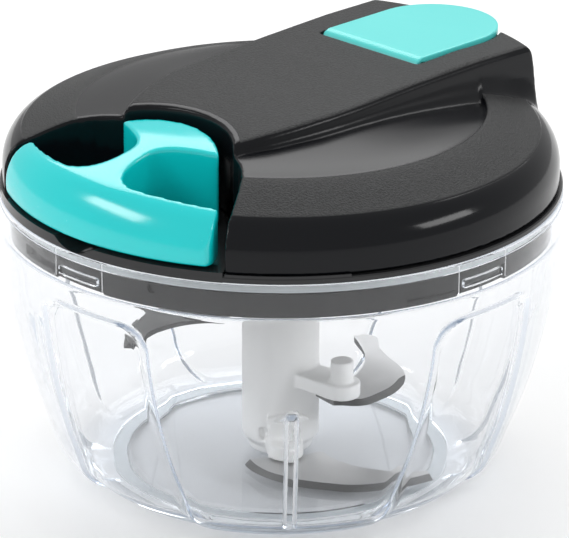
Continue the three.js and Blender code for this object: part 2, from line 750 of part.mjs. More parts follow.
function coverCavity() {
  const under = [...coverCrown, [dishRadius, dishRim]].map(([r, z]) => [r - lidWall, z - cavityDrop]);
  const inner = [
    [coverRadius - lidWall, coverFoot - overrun], [coverSide[2][0] - lidWall, coverSide[2][1]], ...under,
    ...lift(dishMiddle, -cavityDrop),
  ];
  const dome = turned([[0, coverFoot - overrun], ...inner]);
  const strapRoom = prism(strapOutline(lidWall), strapRoot, hatchTop).intersect(
    crossPrism(strapProfile(lidWall), bowlRadius));
  const seat = [[hatchFront - hatchSeatThickness, hatchSeat - hatchSeatThickness],
    [bowlRadius, hatchSeat - hatchSeatThickness], [bowlRadius, bowlRadius * 2],
    [hatchFront - hatchSeatThickness, bowlRadius * 2]];
  const room = dome.add(strapRoom.subtract(crossPrism(seat, bowlRadius)));
  return room.subtract(prism(recessOutline(lidWall), coverFoot - 2 * overrun, hatchTop + overrun));
}

function makeCover() {
  const posts = [];
  const holes = [];
  for (const angle of postAngles) {
    const [x, y] = polar(postCircle, angle);
    const top = dishRim - lidWall;
    posts.push(rod(postRadius, plateTop + fit, top).translate([x, y, 0]));
    const hole = rod(screwShankRadius + fit, plateBottom, plateBottom + coverScrewLength + fit);
    holes.push(hole.translate([x, y, 0]));
  }
  const pocketHalf = hatchHalfWidth + hatchGap;
  const pocket = prism(dShape(pocketHalf, hatchAxisY, hatchRoundCentre), hatchSeat, hatchTop + overrun);
  const grooveRadius = hatchBarrel + hatchBarrelGap;
  const groove = rodAlongX(grooveRadius, hatchAxisY, hatchAxisZ, pocketHalf);
  const grooveMouth = crossPrism([
    [hatchAxisY - grooveRadius, hatchAxisZ], [hatchAxisY, hatchAxisZ],
    [hatchAxisY, hatchTop + overrun], [hatchAxisY - grooveRadius, hatchTop + overrun],
  ], pocketHalf);
  const pinHalf = hatchHalfWidth + hatchPinSeat + fit;
  const pinSeat = rodAlongX(hatchPinRadius + fit, hatchAxisY, hatchAxisZ, pinHalf);
  const mouth = prism(dShape(chuteHalfWidth, chuteFront, chuteRoundCentre), strapRoot, hatchTop);
  const recess = prism(recessOutline(0), coverFoot - 2 * overrun, hatchTop + overrun);
  const guideHole = rodAlongY(guideBodyRadius + fit, 0, cordLine, recessCentre, 0);
  const shell = coverSolid().subtract(coverCavity());
  const tools = [recess, pocket, groove, grooveMouth, pinSeat, mouth, guideHole, ...holes];
  piece('lid_cover', cutBy(joined(shell, ...posts), ...tools), 'dark');
}

function makeLidBase() {
  const ring = turned([
    [0, plateBottom], [skirtInner, plateBottom], [skirtInner, skirtBottom], [skirtRadius, skirtBottom],
    [skirtRadius, flangeBottom], [flangeRadius, flangeBottom], [flangeRadius, flangeTop],
    [skirtInner, flangeTop], [skirtInner, plateTop], [0, plateTop],
  ]);
  const boss = rod(bearingBossRadius, bearingBossBottom, plateTop);
  const disc = rod(flangeRadius, flangeBottom, recessFloor, largeFacets);
  const shelf = prism(recessOutline(-fit), flangeBottom, recessFloor).intersect(disc);
  const chuteOutline = dShape(chuteHalfWidth + chuteWall, chuteFront - chuteWall, chuteRoundCentre);
  const chute = prism(chuteOutline, plateBottom, chuteTop);
  const boreOutline = dShape(chuteHalfWidth, chuteFront, chuteRoundCentre);
  const chuteBore = prism(boreOutline, skirtBottom, chuteTop + overrun);
  const scoopRadius = (scoopHalfWidth ** 2 + scoopDepth ** 2) / (2 * scoopDepth);
  const scoop = rodAlongY(scoopRadius, 0, recessFloor - scoopDepth + scoopRadius,
    -flangeRadius - overrun, -flangeRadius + scoopReach, mediumFacets);
  const bushBore = rod(driveShaftRadius + bushWall + wideFit, skirtBottom - overrun, plateTop + overrun);
  const tools = [chuteBore, scoop, bushBore];
  tools.push(tube(skirtRadius - gasketWidth - fit, skirtRadius + overrun, gasketBottom - fit,
    gasketBottom + gasketHeight + fit));
  const lugAngle = THREE.MathUtils.radToDeg((lugHalfLength + wideFit) / rimInner);
  const channelFloor = lugRadius - channelGap;
  for (let i = 0; i < panelCount; i += 1) {
    const centre = (i * 360) / panelCount;
    const top = lugBottom + lugHeight + fit;
    const [from, to] = [centre - lugAngle, centre + lugAngle];
    tools.push(sector(channelFloor, bowlRadius, from, to, skirtBottom - overrun, top));
    tools.push(sector(channelFloor, bowlRadius, from - lockAngle, centre, lugBottom - fit, top));
  }
  for (const [x, y] of screwPlaces()) {
    tools.push(rod(screwShankRadius + fit, skirtBottom, plateTop + overrun).translate([x, y, 0]));
    const seat = plateBottom + screwHeadHeight + wideFit;
    tools.push(rod(screwHeadRadius + fit, skirtBottom, seat).translate([x, y, 0]));
  }
  piece('lid_base', cutBy(joined(ring, boss, shelf, chute), ...tools), 'dark');
  const gasket = tube(skirtRadius - gasketWidth, rimInner - fit, gasketBottom, gasketBottom + gasketHeight);
  piece('lid_gasket', gasket, 'silicone');
}

const screwPlaces = () => [
  ...housingEarAngles.map((angle) => polar(housingEarCircle, angle)),
  ...postAngles.map((angle) => polar(postCircle, angle)),
];

function makeScrew(name, [x, y], length) {
  const bottom = plateBottom + fit;
  const neck = bottom + screwHeadHeight;
  const end = plateBottom + length;
  const body = turned([
    [0, bottom], [screwHeadRadius, bottom], [screwHeadRadius, neck], [screwShankRadius, neck],
    [screwShankRadius, end - screwShankRadius], [0, end],
  ], screwFacets);
  const [w, l] = [crossSlotHalfWidth, crossSlotHalfLength];
  const slot = prism([[-l, -w], [l, -w], [l, w], [-l, w]], bottom - overrun, bottom + crossSlotDepth);
  piece(name, cutBy(body, slot, slot.rotate([0, 0, 90])).translate([x, y, 0]), 'steel');
}

function makeScrews() {
  housingEarAngles.forEach((angle, i) => {
    makeScrew(`housing_screw_${i + 1}`, polar(housingEarCircle, angle), housingScrewLength);
  });
  postAngles.forEach((angle, i) => {
    makeScrew(`cover_screw_${i + 1}`, polar(postCircle, angle), coverScrewLength);
  });
}

// The grip bar is highest at the web and falls to both ends, level with the cover there
function archedGrip(body) {
  const flat = crescentRadius + handleBarWidth;
  return body.warp((point) => {
    const [x, y, z] = point;
    const turn = Math.atan2(x, -y) / radians(handleAngle);
    const out = THREE.MathUtils.clamp((Math.hypot(x, y) - flat) / (handleBarInner - flat), 0, 1);
    const up = Math.max(0, (z - handleFoot) / handleRise);
    point[2] = z - handleArch * Math.min(1, turn * turn) * out * up;
  });
}

function makeHandle() {
  const top = handleFoot + handleRise;
  const blank = turned([[0, handleFoot], ...handleSide, ...handleCrown, [0, top]]);
  const barStart = -90 - handleAngle;
  const barEnd = -90 + handleAngle;
  const rim = prism([
    ...arc(0, 0, bowlRadius + overrun, barStart, barEnd, 24),
    ...arc(0, 0, handleBarInner, barEnd, barStart, 24),
  ], 0, bowlRadius * 2);
  const flareRoot = -handleBarInner + webFlare;
  const web = prism([
    [-webHalfWidth, crescentCentre + crescentRadius - crescentThickness / 2], [-webHalfWidth, flareRoot],
    [-webHalfWidth - webFlare, -handleBarInner - fit], [webHalfWidth + webFlare, -handleBarInner - fit],
    [webHalfWidth, flareRoot], [webHalfWidth, crescentCentre + crescentRadius - crescentThickness / 2],
  ], 0, bowlRadius * 2);
  const half = THREE.MathUtils.radToDeg(Math.asin(crescentHalfSpan / crescentRadius));
  const tipY = crescentCentre + Math.sqrt(crescentRadius ** 2 - crescentHalfSpan ** 2);
  const middle = crescentCentre + crescentRadius - crescentThickness;
  const crescent = prism([
    ...arc(0, crescentCentre, crescentRadius, 90 - half, 90 + half, 14),
    [-crescentHalfSpan, tipY - webFlare / 3], [-crescentHalfSpan / 2, middle - webFlare / 2],
    [-webHalfWidth, middle - webFlare], [webHalfWidth, middle - webFlare],
    [crescentHalfSpan / 2, middle - webFlare / 2], [crescentHalfSpan, tipY - webFlare / 3],
  ], 0, bowlRadius * 2);
  const back = crescentCentre + crescentRadius + overrun;
  const knotY = middle - handleKnotInset;
  const cordHole = rodAlongY(handleCordHole, 0, cordLine, knotY, back, smallFacets);
  const knot = rod(handleKnotRadius, 0, cordLine + handleKnotDepth / 2).translate([0, knotY, 0]);
  const knotSlot = knot.intersect(crossPrism([
    [-bowlRadius, cordLine - handleKnotDepth], [0, cordLine - handleKnotDepth],
    [0, cordLine + handleKnotDepth / 2], [-bowlRadius, cordLine + handleKnotDepth / 2],
  ], handleKnotSlot));
  const pass = rod(handleKnotSlot, 0, cordLine).translate([0, knotY, 0]);
  const grip = archedGrip(blank.intersect(joined(rim, web, crescent)));
  piece('pull_handle', cutBy(grip, cordHole, knotSlot, pass), 'teal');
}

function makeHatch() {
  const plateLow = hatchTop - hatchThickness;
  const lid = prism(dShape(hatchHalfWidth, hatchAxisY, hatchRoundCentre), plateLow, hatchTop);
  const barrel = rodAlongX(hatchBarrel, hatchAxisY, hatchAxisZ, hatchHalfWidth);
  const rimHalf = chuteHalfWidth - wideFit;
  const rimFront = chuteFront + wideFit;
  const plug = prism(dShape(rimHalf, rimFront, chuteRoundCentre), plateLow - plugDepth, plateLow + fit);
  const hollow = prism(dShape(rimHalf - plugWall, rimFront + plugWall, chuteRoundCentre), 0, plateLow);
  const bore = rodAlongX(hatchPinRadius + fit, hatchAxisY, hatchAxisZ, hatchHalfWidth + overrun);
  piece('hatch_flap', joined(lid, barrel, plug.subtract(hollow)).subtract(bore), 'paleTeal');
  const pinHalf = hatchHalfWidth + hatchPinSeat;
  piece('hatch_pin', rodAlongX(hatchPinRadius, hatchAxisY, hatchAxisZ, pinHalf), 'steel');
}

function makeDriveCup() {
  const pitch = 360 / toothCount;
  const teeth = [];
  for (let i = 0; i < toothCount; i += 1) {
    teeth.push(polar(toothRoot, i * pitch), polar((toothRoot + toothTip) / 2, (i + 0.5) * pitch));
    teeth.push(polar(toothTip, (i + 1) * pitch));
  }
  const floor = rod(cupRadius, cupBottom, driveCupFloor, mediumFacets);
  const wall = rod(cupRadius, driveCupFloor, cupRim, mediumFacets)
    .subtract(prism(teeth, driveCupFloor - fit, cupRim + overrun));
  const hub = rod(arborRadius, driveCupFloor - fit, cupRim);
  const shaft = rod(driveShaftRadius, driveShaftBottom, cupBottom + fit);
  const dogs = [];
  for (let i = 0; i < dogCount; i += 1) {
    const centre = (i * 360) / dogCount;
    const from = centre - dogHalfAngle;
    const top = driveShaftBottom + dogHeight;
    dogs.push(sector(0, dogRadius, from, centre + dogHalfAngle, driveShaftBottom, top));
  }
  const axleBore = rod(axleRadius + fit, driveCupFloor, cupRim + overrun);
  const groove = tube(driveShaftRadius - clipGrooveDepth, driveShaftRadius + overrun, clipBottom - fit,
    clipBottom + clipThickness + fit, smallFacets);
  piece('drive_cup', cutBy(joined(floor, wall, hub, shaft, ...dogs), axleBore, groove), 'white');
  const bushInner = driveShaftRadius + fit;
  const bush = tube(bushInner, bushInner + bushWall, bearingBossBottom, cupBottom - fit, smallFacets);
  piece('drive_bush', bush, 'steel');
  const clipInner = driveShaftRadius - clipGrooveDepth + fit;
  const ring = tube(clipInner, clipRadius, clipBottom, clipBottom + clipThickness, smallFacets);
  const halfOpening = clipOpening / 2;
  const mouth = sector(0, clipRadius + overrun, -halfOpening, halfOpening, clipBottom - overrun,
    bearingBossBottom);
  piece('shaft_clip', ring.subtract(mouth), 'spring');
}

// A pawl swings on its post and pushes the cup's teeth when the cord is pulled
function pawlSolid() {
  const heel = polar(toothTip - pawlTipWidth, pawlReachAngle);
  const tip = polar(toothRoot - pawlTipGap, pawlReachAngle);
  const back = polar(toothTip + fit, pawlReachAngle + pawlTipAngle);
  const eye = rod(pawlEyeRadius, pawlBottom, pawlBottom + pawlHeight).translate([pawlCircle, 0, 0]);
  const arm = prism([[pawlCircle - pawlWaist, 0], heel, tip, back, [pawlCircle + pawlWaist, 0]],
    pawlBottom, pawlBottom + pawlHeight);
  const bore = rod(pawlPostRadius + fit, 0, bowlRadius * 2).translate([pawlCircle, 0, 0]);
  return joined(eye, arm).subtract(bore);
}

function makeReel() {
  const drumLow = reelBottom + reelFlange;
  const drumHigh = drumLow + reelDrumHeight;
  const top = drumHigh + reelFlange;
  const body = turned([
    [axleRadius + fit, reelBottom], [reelFlangeRadius, reelBottom], [reelFlangeRadius, drumLow],
    [reelDrumRadius, drumLow], [reelDrumRadius, drumHigh], [reelFlangeRadius, drumHigh],
    [reelFlangeRadius, top], [reelBarrelRadius, top], [reelBarrelRadius, reelBottom + reelFloor],
    [axleRadius + fit, reelBottom + reelFloor],
  ], mediumFacets);
  const posts = [0, 180].map((angle) => {
    const [x, y] = polar(pawlCircle, angle);
    return rod(pawlPostRadius, pawlBottom + fit, reelBottom + fit, smallFacets).translate([x, y, 0]);
  });
  const cordBoreX = (reelDrumRadius + reelBarrelRadius) / 2;
  const cordBore = rodAlongY(cordBoreRadius, cordBoreX, cordLine, -reelDrumRadius, 0, smallFacets);
  piece('cord_reel', joined(body, ...posts).subtract(cordBore), 'white');
  piece('pawl_a', pawlSolid(), 'white');
  piece('pawl_b', pawlSolid().rotate([0, 0, 180]), 'white');
  piece('reel_axle', rod(axleRadius, driveCupFloor + fit, housingTop - fit), 'steel');
}

function makeSpring() {
  const inner = arborRadius + wideFit;
  const outer = reelBarrelRadius - wideFit - springThickness;
  const steps = springTurns * springStepsPerTurn;
  const inside = [];
  const outside = [];
  for (let i = 0; i <= steps; i += 1) {
    const radius = inner + ((outer - inner) * i) / steps;
    const angle = (i * 360) / springStepsPerTurn;
    inside.push(polar(radius, angle));
    outside.push(polar(radius + springThickness, angle));
  }
  const low = reelBottom + reelFloor + fit;
  piece('return_spring', prism([...outside, ...inside.reverse()], low, low + springHeight), 'spring');
}

function makeHousing() {
  const low = plateTop + fit;
  const under = housingTop - housingTopThickness;
  const arborLow = reelBottom + reelFloor + fit;
  const shell = turned([
    [axleRadius + fit, arborLow], [arborRadius, arborLow], [arborRadius, under],
    [housingRadius - housingWall, under],
    [housingRadius - housingWall, low], [housingRadius, low], [housingRadius, housingTop],
    [axleRadius + fit, housingTop],
  ], mediumFacets);
  const ears = [];
  const holes = [];
  for (const angle of housingEarAngles) {
    const [x, y] = polar(housingEarCircle, angle);
    ears.push(rod(housingEarRadius, low, low + housingEarHeight).translate([x, y, 0]));
    holes.push(rod(screwShankRadius + fit, 0, plateBottom + housingScrewLength + fit).translate([x, y, 0]));
  }
  const room = rod(housingRadius - housingWall / 2, low - overrun, under, mediumFacets);
  const window = sector(housingRadius - 3 * housingWall, housingRadius + overrun, -90 - cordWindowHalfAngle,
    -90 + cordWindowHalfAngle, cordLine - cordWindowHalfHeight, cordLine + cordWindowHalfHeight);
  const mounts = joined(...ears).subtract(room);
  piece('reel_housing', cutBy(joined(shell, mounts), window, ...holes), 'white');
}

// Ring that the cord runs through, set in the wall behind the handle
function makeGuide() {
  const back = recessBack + lidWall;
  const front = recessBack;
  const body = rodAlongY(guideBodyRadius, 0, cordLine, front, back);
  const flange = rodAlongY(guideFlangeRadius, 0, cordLine, front - guideFlange - wideFit, front - wideFit);
  const bore = rodAlongY(guideHoleRadius, 0, cordLine, front - overrun, back + overrun);
  const neck = rodAlongY(guideBodyRadius, 0, cordLine, front - guideFlange, front + fit);
  piece('cord_guide', joined(body, flange, neck).subtract(bore), 'white');
}

makeBowl();
makeShaft();
blades.forEach(makeBlade);
makeLidBase();
makeCover();
makeScrews();
makeHandle();
makeHatch();
makeDriveCup();
makeReel();
makeSpring();
makeHousing();
makeGuide();

export default group;
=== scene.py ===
"""Pull cord food chopper: clear bowl, blade set, dark lid, teal pull handle and pale teal hatch.

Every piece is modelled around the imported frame, in metres, and rides on the body it belongs to.
"""
from __future__ import annotations

import logging
import math
from contextlib import contextmanager
from dataclasses import dataclass, field
from enum import Enum
from functools import lru_cache
from typing import Callable, Iterator, Sequence

import bpy
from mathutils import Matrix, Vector


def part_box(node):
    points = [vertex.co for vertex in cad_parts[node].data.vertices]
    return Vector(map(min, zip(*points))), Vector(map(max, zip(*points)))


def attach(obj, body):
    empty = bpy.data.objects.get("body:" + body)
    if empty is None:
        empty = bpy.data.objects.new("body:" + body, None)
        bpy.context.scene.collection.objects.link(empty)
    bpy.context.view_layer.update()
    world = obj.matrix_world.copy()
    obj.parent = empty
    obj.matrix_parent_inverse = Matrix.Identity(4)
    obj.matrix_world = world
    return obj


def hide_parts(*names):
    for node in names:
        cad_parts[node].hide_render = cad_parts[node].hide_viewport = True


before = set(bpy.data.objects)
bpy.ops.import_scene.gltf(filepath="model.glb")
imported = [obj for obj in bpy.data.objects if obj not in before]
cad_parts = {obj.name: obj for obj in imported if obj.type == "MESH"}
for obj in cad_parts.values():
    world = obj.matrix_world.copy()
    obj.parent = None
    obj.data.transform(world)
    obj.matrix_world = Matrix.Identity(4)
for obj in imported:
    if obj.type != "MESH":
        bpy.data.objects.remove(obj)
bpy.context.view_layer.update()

LOG = logging.getLogger("chopper")
MM = 0.001
WELD = MM * 0.001
QUARTERS = (0, 90, 180, 270)
# Heights in millimetres under the lid and over the whole object, where cutters end.
UNDER, OVER = 60.0, 110.0

Point = tuple[float, float]
Colour = tuple[float, float, float, float]
Node = bpy.types.Node
Socket = bpy.types.NodeSocket
Tree = bpy.types.NodeTree
Object = bpy.types.Object


class Solver(Enum):
    """How two closed solids are combined."""

    CUT = "DIFFERENCE"
    JOIN = "UNION"
    KEEP = "INTERSECT"


def polar(radius: float, degrees: float) -> Point:
    """Point at a radius and an angle from +X."""
    turn = math.radians(degrees)
    return radius * math.cos(turn), radius * math.sin(turn)


def arc(x: float, y: float, radius: float, start: float, end: float, steps: int) -> list[Point]:
    """Points of an arc, both ends included.

    Args:
        x: Centre of the arc.
        y: Centre of the arc.
        radius: Radius of the arc.
        start: First angle in degrees.
        end: Last angle in degrees.
        steps: Number of chords.

    Returns:
        The points in order.
    """
    points = []
    for i in range(steps + 1):
        dx, dy = polar(radius, start + (end - start) * i / steps)
        points.append((x + dx, y + dy))
    return points


def mirrored(points: Sequence[Point]) -> list[Point]:
    """The same points across the YZ plane, in reverse order."""
    return [(-x, y) for x, y in reversed(points)]


def lerp(table: Sequence[Point], at: float) -> float:
    """Value of a piecewise straight table at a place, held flat past its ends."""
    if at <= table[0][0]:
        return table[0][1]
    for (x0, y0), (x1, y1) in zip(table, table[1:]):
        if at <= x1:
            return y0 + (y1 - y0) * (at - x0) / (x1 - x0)
    return table[-1][1]


def smoothstep(low: float, high: float, at: float) -> float:
    """Soft step from 0 at low to 1 at high."""
    share = min(1.0, max(0.0, (at - low) / (high - low)))
    return share * share * (3 - 2 * share)


def rounded_path(points: Sequence[Point], pieces: int) -> list[Point]:
    """Smooth curve through the given points.

    Args:
        points: Points that the curve passes through.
        pieces: Number of chords between two of them.

    Returns:
        The points of the curve.
    """
    out = []
    last = len(points) - 1
    for i in range(last):
        p0, p1 = points[max(0, i - 1)], points[i]
        p2, p3 = points[i + 1], points[min(last, i + 2)]
        for k in range(pieces):
            t = k / pieces
            out.append(tuple(
                0.5 * (2 * b + (c - a) * t + (2 * a - 5 * b + 4 * c - d) * t * t
                       + (3 * b - a - 3 * c + d) * t ** 3)
                for a, b, c, d in zip(p0, p1, p2, p3)))
    out.append(tuple(points[last]))
    return out


@lru_cache(maxsize=None)
def smooth_table(table: tuple[Point, ...], pieces: int) -> tuple[Point, ...]:
    """The smooth curve through a table, kept so that it is only worked out once."""
    return tuple(rounded_path(table, pieces))


def tongue(half: float, root: float, middle: float, steps: int) -> list[Point]:
    """Plan with a straight end at its root and a round end about its middle."""
    return [(-half, root), (half, root), *arc(0, middle, half, 0, 180, steps)]


def middle_of(node: str) -> Vector:
    """Middle of a CAD node's box in millimetres."""
    low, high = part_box(node)
    return (low + high) / 2 / MM


class Bench:
    """The modelling operators, each used as by hand. Sizes come in as millimetres."""

    @staticmethod
    def take(obj: Object) -> None:
        """Selects one object alone and makes it active."""
        bpy.ops.object.select_all(action="DESELECT")
        obj.select_set(True)
        bpy.context.view_layer.objects.active = obj

    @staticmethod
    @contextmanager
    def editing(obj: Object) -> Iterator[None]:
        """Edit mode on one object, with everything in it selected."""
        Bench.take(obj)
        bpy.ops.object.mode_set(mode="EDIT")
        bpy.ops.mesh.select_mode(type="VERT")
        bpy.ops.mesh.select_all(action="SELECT")
        yield
        bpy.ops.object.mode_set(mode="OBJECT")

    @staticmethod
    def wire(name: str, points: Sequence[Sequence[float]]) -> Object:
        """A chain of edges, drawn by extruding one vertex from point to point.

        Args:
            name: Name of the new object.
            points: Places in millimetres.

        Returns:
            The new object.
        """
        bpy.ops.object.select_all(action="DESELECT")
        bpy.ops.mesh.primitive_plane_add(size=MM)
        obj = bpy.context.active_object
        obj.name = name
        places = [Vector(p) * MM for p in points]
        with Bench.editing(obj):
            bpy.ops.mesh.merge(type="CENTER")
            bpy.ops.transform.translate(value=places[0])
            for here, there in zip(places, places[1:]):
                bpy.ops.mesh.extrude_vertices_move(TRANSFORM_OT_translate={"value": there - here})
        return obj

    @staticmethod
    def lathe(name: str, profile: Sequence[Point], steps: int) -> Object:
        """Solid of revolution about Z.

        Args:
            name: Name of the new object.
            profile: Points as radius and height. Ends off the axis are closed to each other.
            steps: Number of columns round the axis.

        Returns:
            The new object.
        """
        loop = list(profile)
        if profile[0][0] > 0 or profile[-1][0] > 0:
            loop.append(profile[0])
        obj = Bench.wire(name, [(r, 0, z) for r, z in loop])
        with Bench.editing(obj):
            bpy.ops.mesh.remove_doubles(threshold=WELD)
            bpy.ops.mesh.spin(steps=steps, angle=math.tau, center=(0, 0, 0), axis=(0, 0, 1))
            bpy.ops.mesh.select_all(action="SELECT")
            bpy.ops.mesh.remove_doubles(threshold=WELD)
            bpy.ops.mesh.normals_make_consistent(inside=False)
        return obj

    @staticmethod
    def _prism(wire: Object, along: Sequence[float]) -> Object:
        """Fills a closed wire and extrudes it along a vector in metres."""
        with Bench.editing(wire):
            bpy.ops.mesh.remove_doubles(threshold=WELD)
            bpy.ops.mesh.edge_face_add()
            bpy.ops.mesh.extrude_region_move(TRANSFORM_OT_translate={"value": along})
            bpy.ops.mesh.select_all(action="SELECT")
            bpy.ops.mesh.normals_make_consistent(inside=False)
        return wire

    @staticmethod
    def slab(name: str, outline: Sequence[Point], low: float, high: float) -> Object:
        """Upright prism on a closed outline between two heights."""
        wire = Bench.wire(name, [(x, y, low) for x, y in [*outline, outline[0]]])
        return Bench._prism(wire, (0, 0, (high - low) * MM))

    @staticmethod
    def cross_slab(name: str, outline: Sequence[Point], half_width: float) -> Object:
        """Prism across the object, on an outline of depth and height."""
        wire = Bench.wire(name, [(-half_width, y, z) for y, z in [*outline, outline[0]]])
        return Bench._prism(wire, (2 * half_width * MM, 0, 0))

    @staticmethod
    def rod(name: str, radius: float, low: float, high: float, at: Point = (0, 0), steps: int = 48) -> Object:
        """Upright rod at a place, from one height to another."""
        return Bench.slab(name, arc(*at, radius, 0, 360 - 360 / steps, steps - 1), low, high)

    @staticmethod
    def rod_along(name: str, axis: str, radius: float, middle: Sequence[float], length: float) -> Object:
        """Rod along X or Y about its middle point."""
        turn = {"X": (0, math.pi / 2, 0), "Y": (math.pi / 2, 0, 0)}[axis]
        bpy.ops.object.select_all(action="DESELECT")
        bpy.ops.mesh.primitive_cylinder_add(
            vertices=40, radius=radius * MM, depth=length * MM,
            location=[c * MM for c in middle], rotation=turn)
        obj = bpy.context.active_object
        obj.name = name
        bpy.ops.object.transform_apply(location=True, rotation=True, scale=True)
        return obj

    @staticmethod
    def terrain(name: str, columns: Sequence[float], rows: Sequence[float], top: float,
                place: Callable[[float, float], Sequence[float]]) -> Object:
        """Solid between a shaped floor and a level top, on a grid that may bend with an edge.

        Args:
            name: Name of the new object.
            columns: Value of each column of the grid.
            rows: Value of each row of the grid.
            top: Height of the level top in millimetres.
            place: Floor point in millimetres for a column's and a row's value.

        Returns:
            The new object.
        """
        last = (len(columns) - 1, len(rows) - 1)
        bpy.ops.object.select_all(action="DESELECT")
        bpy.ops.mesh.primitive_grid_add(x_subdivisions=last[0], y_subdivisions=last[1], size=1.0)
        obj = bpy.context.active_object
        obj.name = name
        with Bench.editing(obj):
            bpy.ops.mesh.extrude_region_move(TRANSFORM_OT_translate={"value": (0, 0, 1.0)})
        for v in obj.data.vertices:
            column = round((v.co.x + 0.5) * last[0])
            row = round((v.co.y + 0.5) * last[1])
            x, y, z = place(columns[column], rows[row])
            if v.co.z > 0.5:
                z = top
            v.co = Vector((x, y, z)) * MM
        with Bench.editing(obj):
            bpy.ops.mesh.normals_make_consistent(inside=False)
        return obj

    @staticmethod
    def combine(obj: Object, tool: Object, how: Solver) -> Object:
        """Applies a Boolean with a tool that is used up."""
        Bench.take(obj)
        modifier = obj.modifiers.new("combine", "BOOLEAN")
        modifier.operation = how.value
        modifier.solver = "MANIFOLD"
        modifier.object = tool
        bpy.ops.object.modifier_apply(modifier=modifier.name)
        bpy.data.objects.remove(tool)
        return obj

    @staticmethod
    def cut(obj: Object, *tools: Object) -> Object:
        """Takes each tool's space away from the object."""
        for tool in tools:
            Bench.combine(obj, tool, Solver.CUT)
        return obj

    @staticmethod
    def join(obj: Object, *tools: Object) -> Object:
        """Adds each tool's solid to the object."""
        for tool in tools:
            Bench.combine(obj, tool, Solver.JOIN)
        return obj

    @staticmethod
    def keep(obj: Object, tool: Object) -> Object:
        """Keeps only what lies inside the tool."""
        return Bench.combine(obj, tool, Solver.KEEP)

    @staticmethod
    def copy(obj: Object, name: str) -> Object:
        """A copy with a mesh of its own."""
        twin = obj.copy()
        twin.data = obj.data.copy()
        twin.name = name
        bpy.context.scene.collection.objects.link(twin)
        return twin

    @staticmethod
    def turned(obj: Object, degrees: float) -> Object:
        """Turns a solid about Z and applies the turn."""
        Bench.take(obj)
        obj.rotation_euler.z = math.radians(degrees)
        bpy.ops.object.transform_apply(location=True, rotation=True, scale=True)
        return obj

    @staticmethod
    def modify(obj: Object, kind: str, **values: object) -> None:
        """Adds one modifier, sets its values and applies it."""
        Bench.take(obj)
        modifier = obj.modifiers.new(kind.lower(), kind)
        for key, value in values.items():
            setattr(modifier, key, value)
        bpy.ops.object.modifier_apply(modifier=modifier.name)

    @staticmethod
    def mould(obj: Object, voxel: float, rounds: int, faces: int,
              soft: Callable[[Vector], float] | None = None, soft_rounds: int = 0) -> Object:
        """Rounds every edge as a mould does: an even skin, relaxed, then thinned out.

        Args:
            obj: Closed solid.
            voxel: Size of the skin's cells in millimetres.
            rounds: How often the whole skin is relaxed.
            faces: Most triangles that are left.
            soft: Share from 0 to 1 by which a place in millimetres gets the extra rounds.
            soft_rounds: How often those places are relaxed further.

        Returns:
            The same object.
        """
        Bench.modify(obj, "REMESH", mode="VOXEL", voxel_size=voxel * MM)
        Bench.modify(obj, "SMOOTH", factor=0.5, iterations=rounds)
        if soft is not None:
            group = obj.vertex_groups.new(name="soft")
            for v in obj.data.vertices:
                share = soft(v.co / MM)
                if share > 0:
                    group.add([v.index], share, "REPLACE")
            Bench.modify(obj, "SMOOTH", factor=0.5, iterations=soft_rounds, vertex_group="soft")
            obj.vertex_groups.clear()
        count = sum(len(p.vertices) - 2 for p in obj.data.polygons)
        if count > faces:
            Bench.modify(obj, "DECIMATE", ratio=faces / count)
        return obj

    @staticmethod
    def smooth(obj: Object, degrees: float = 35) -> Object:
        """Shades a piece smooth up to an angle between its faces."""
        Bench.take(obj)
        bpy.ops.object.shade_smooth_by_angle(angle=math.radians(degrees))
        return obj


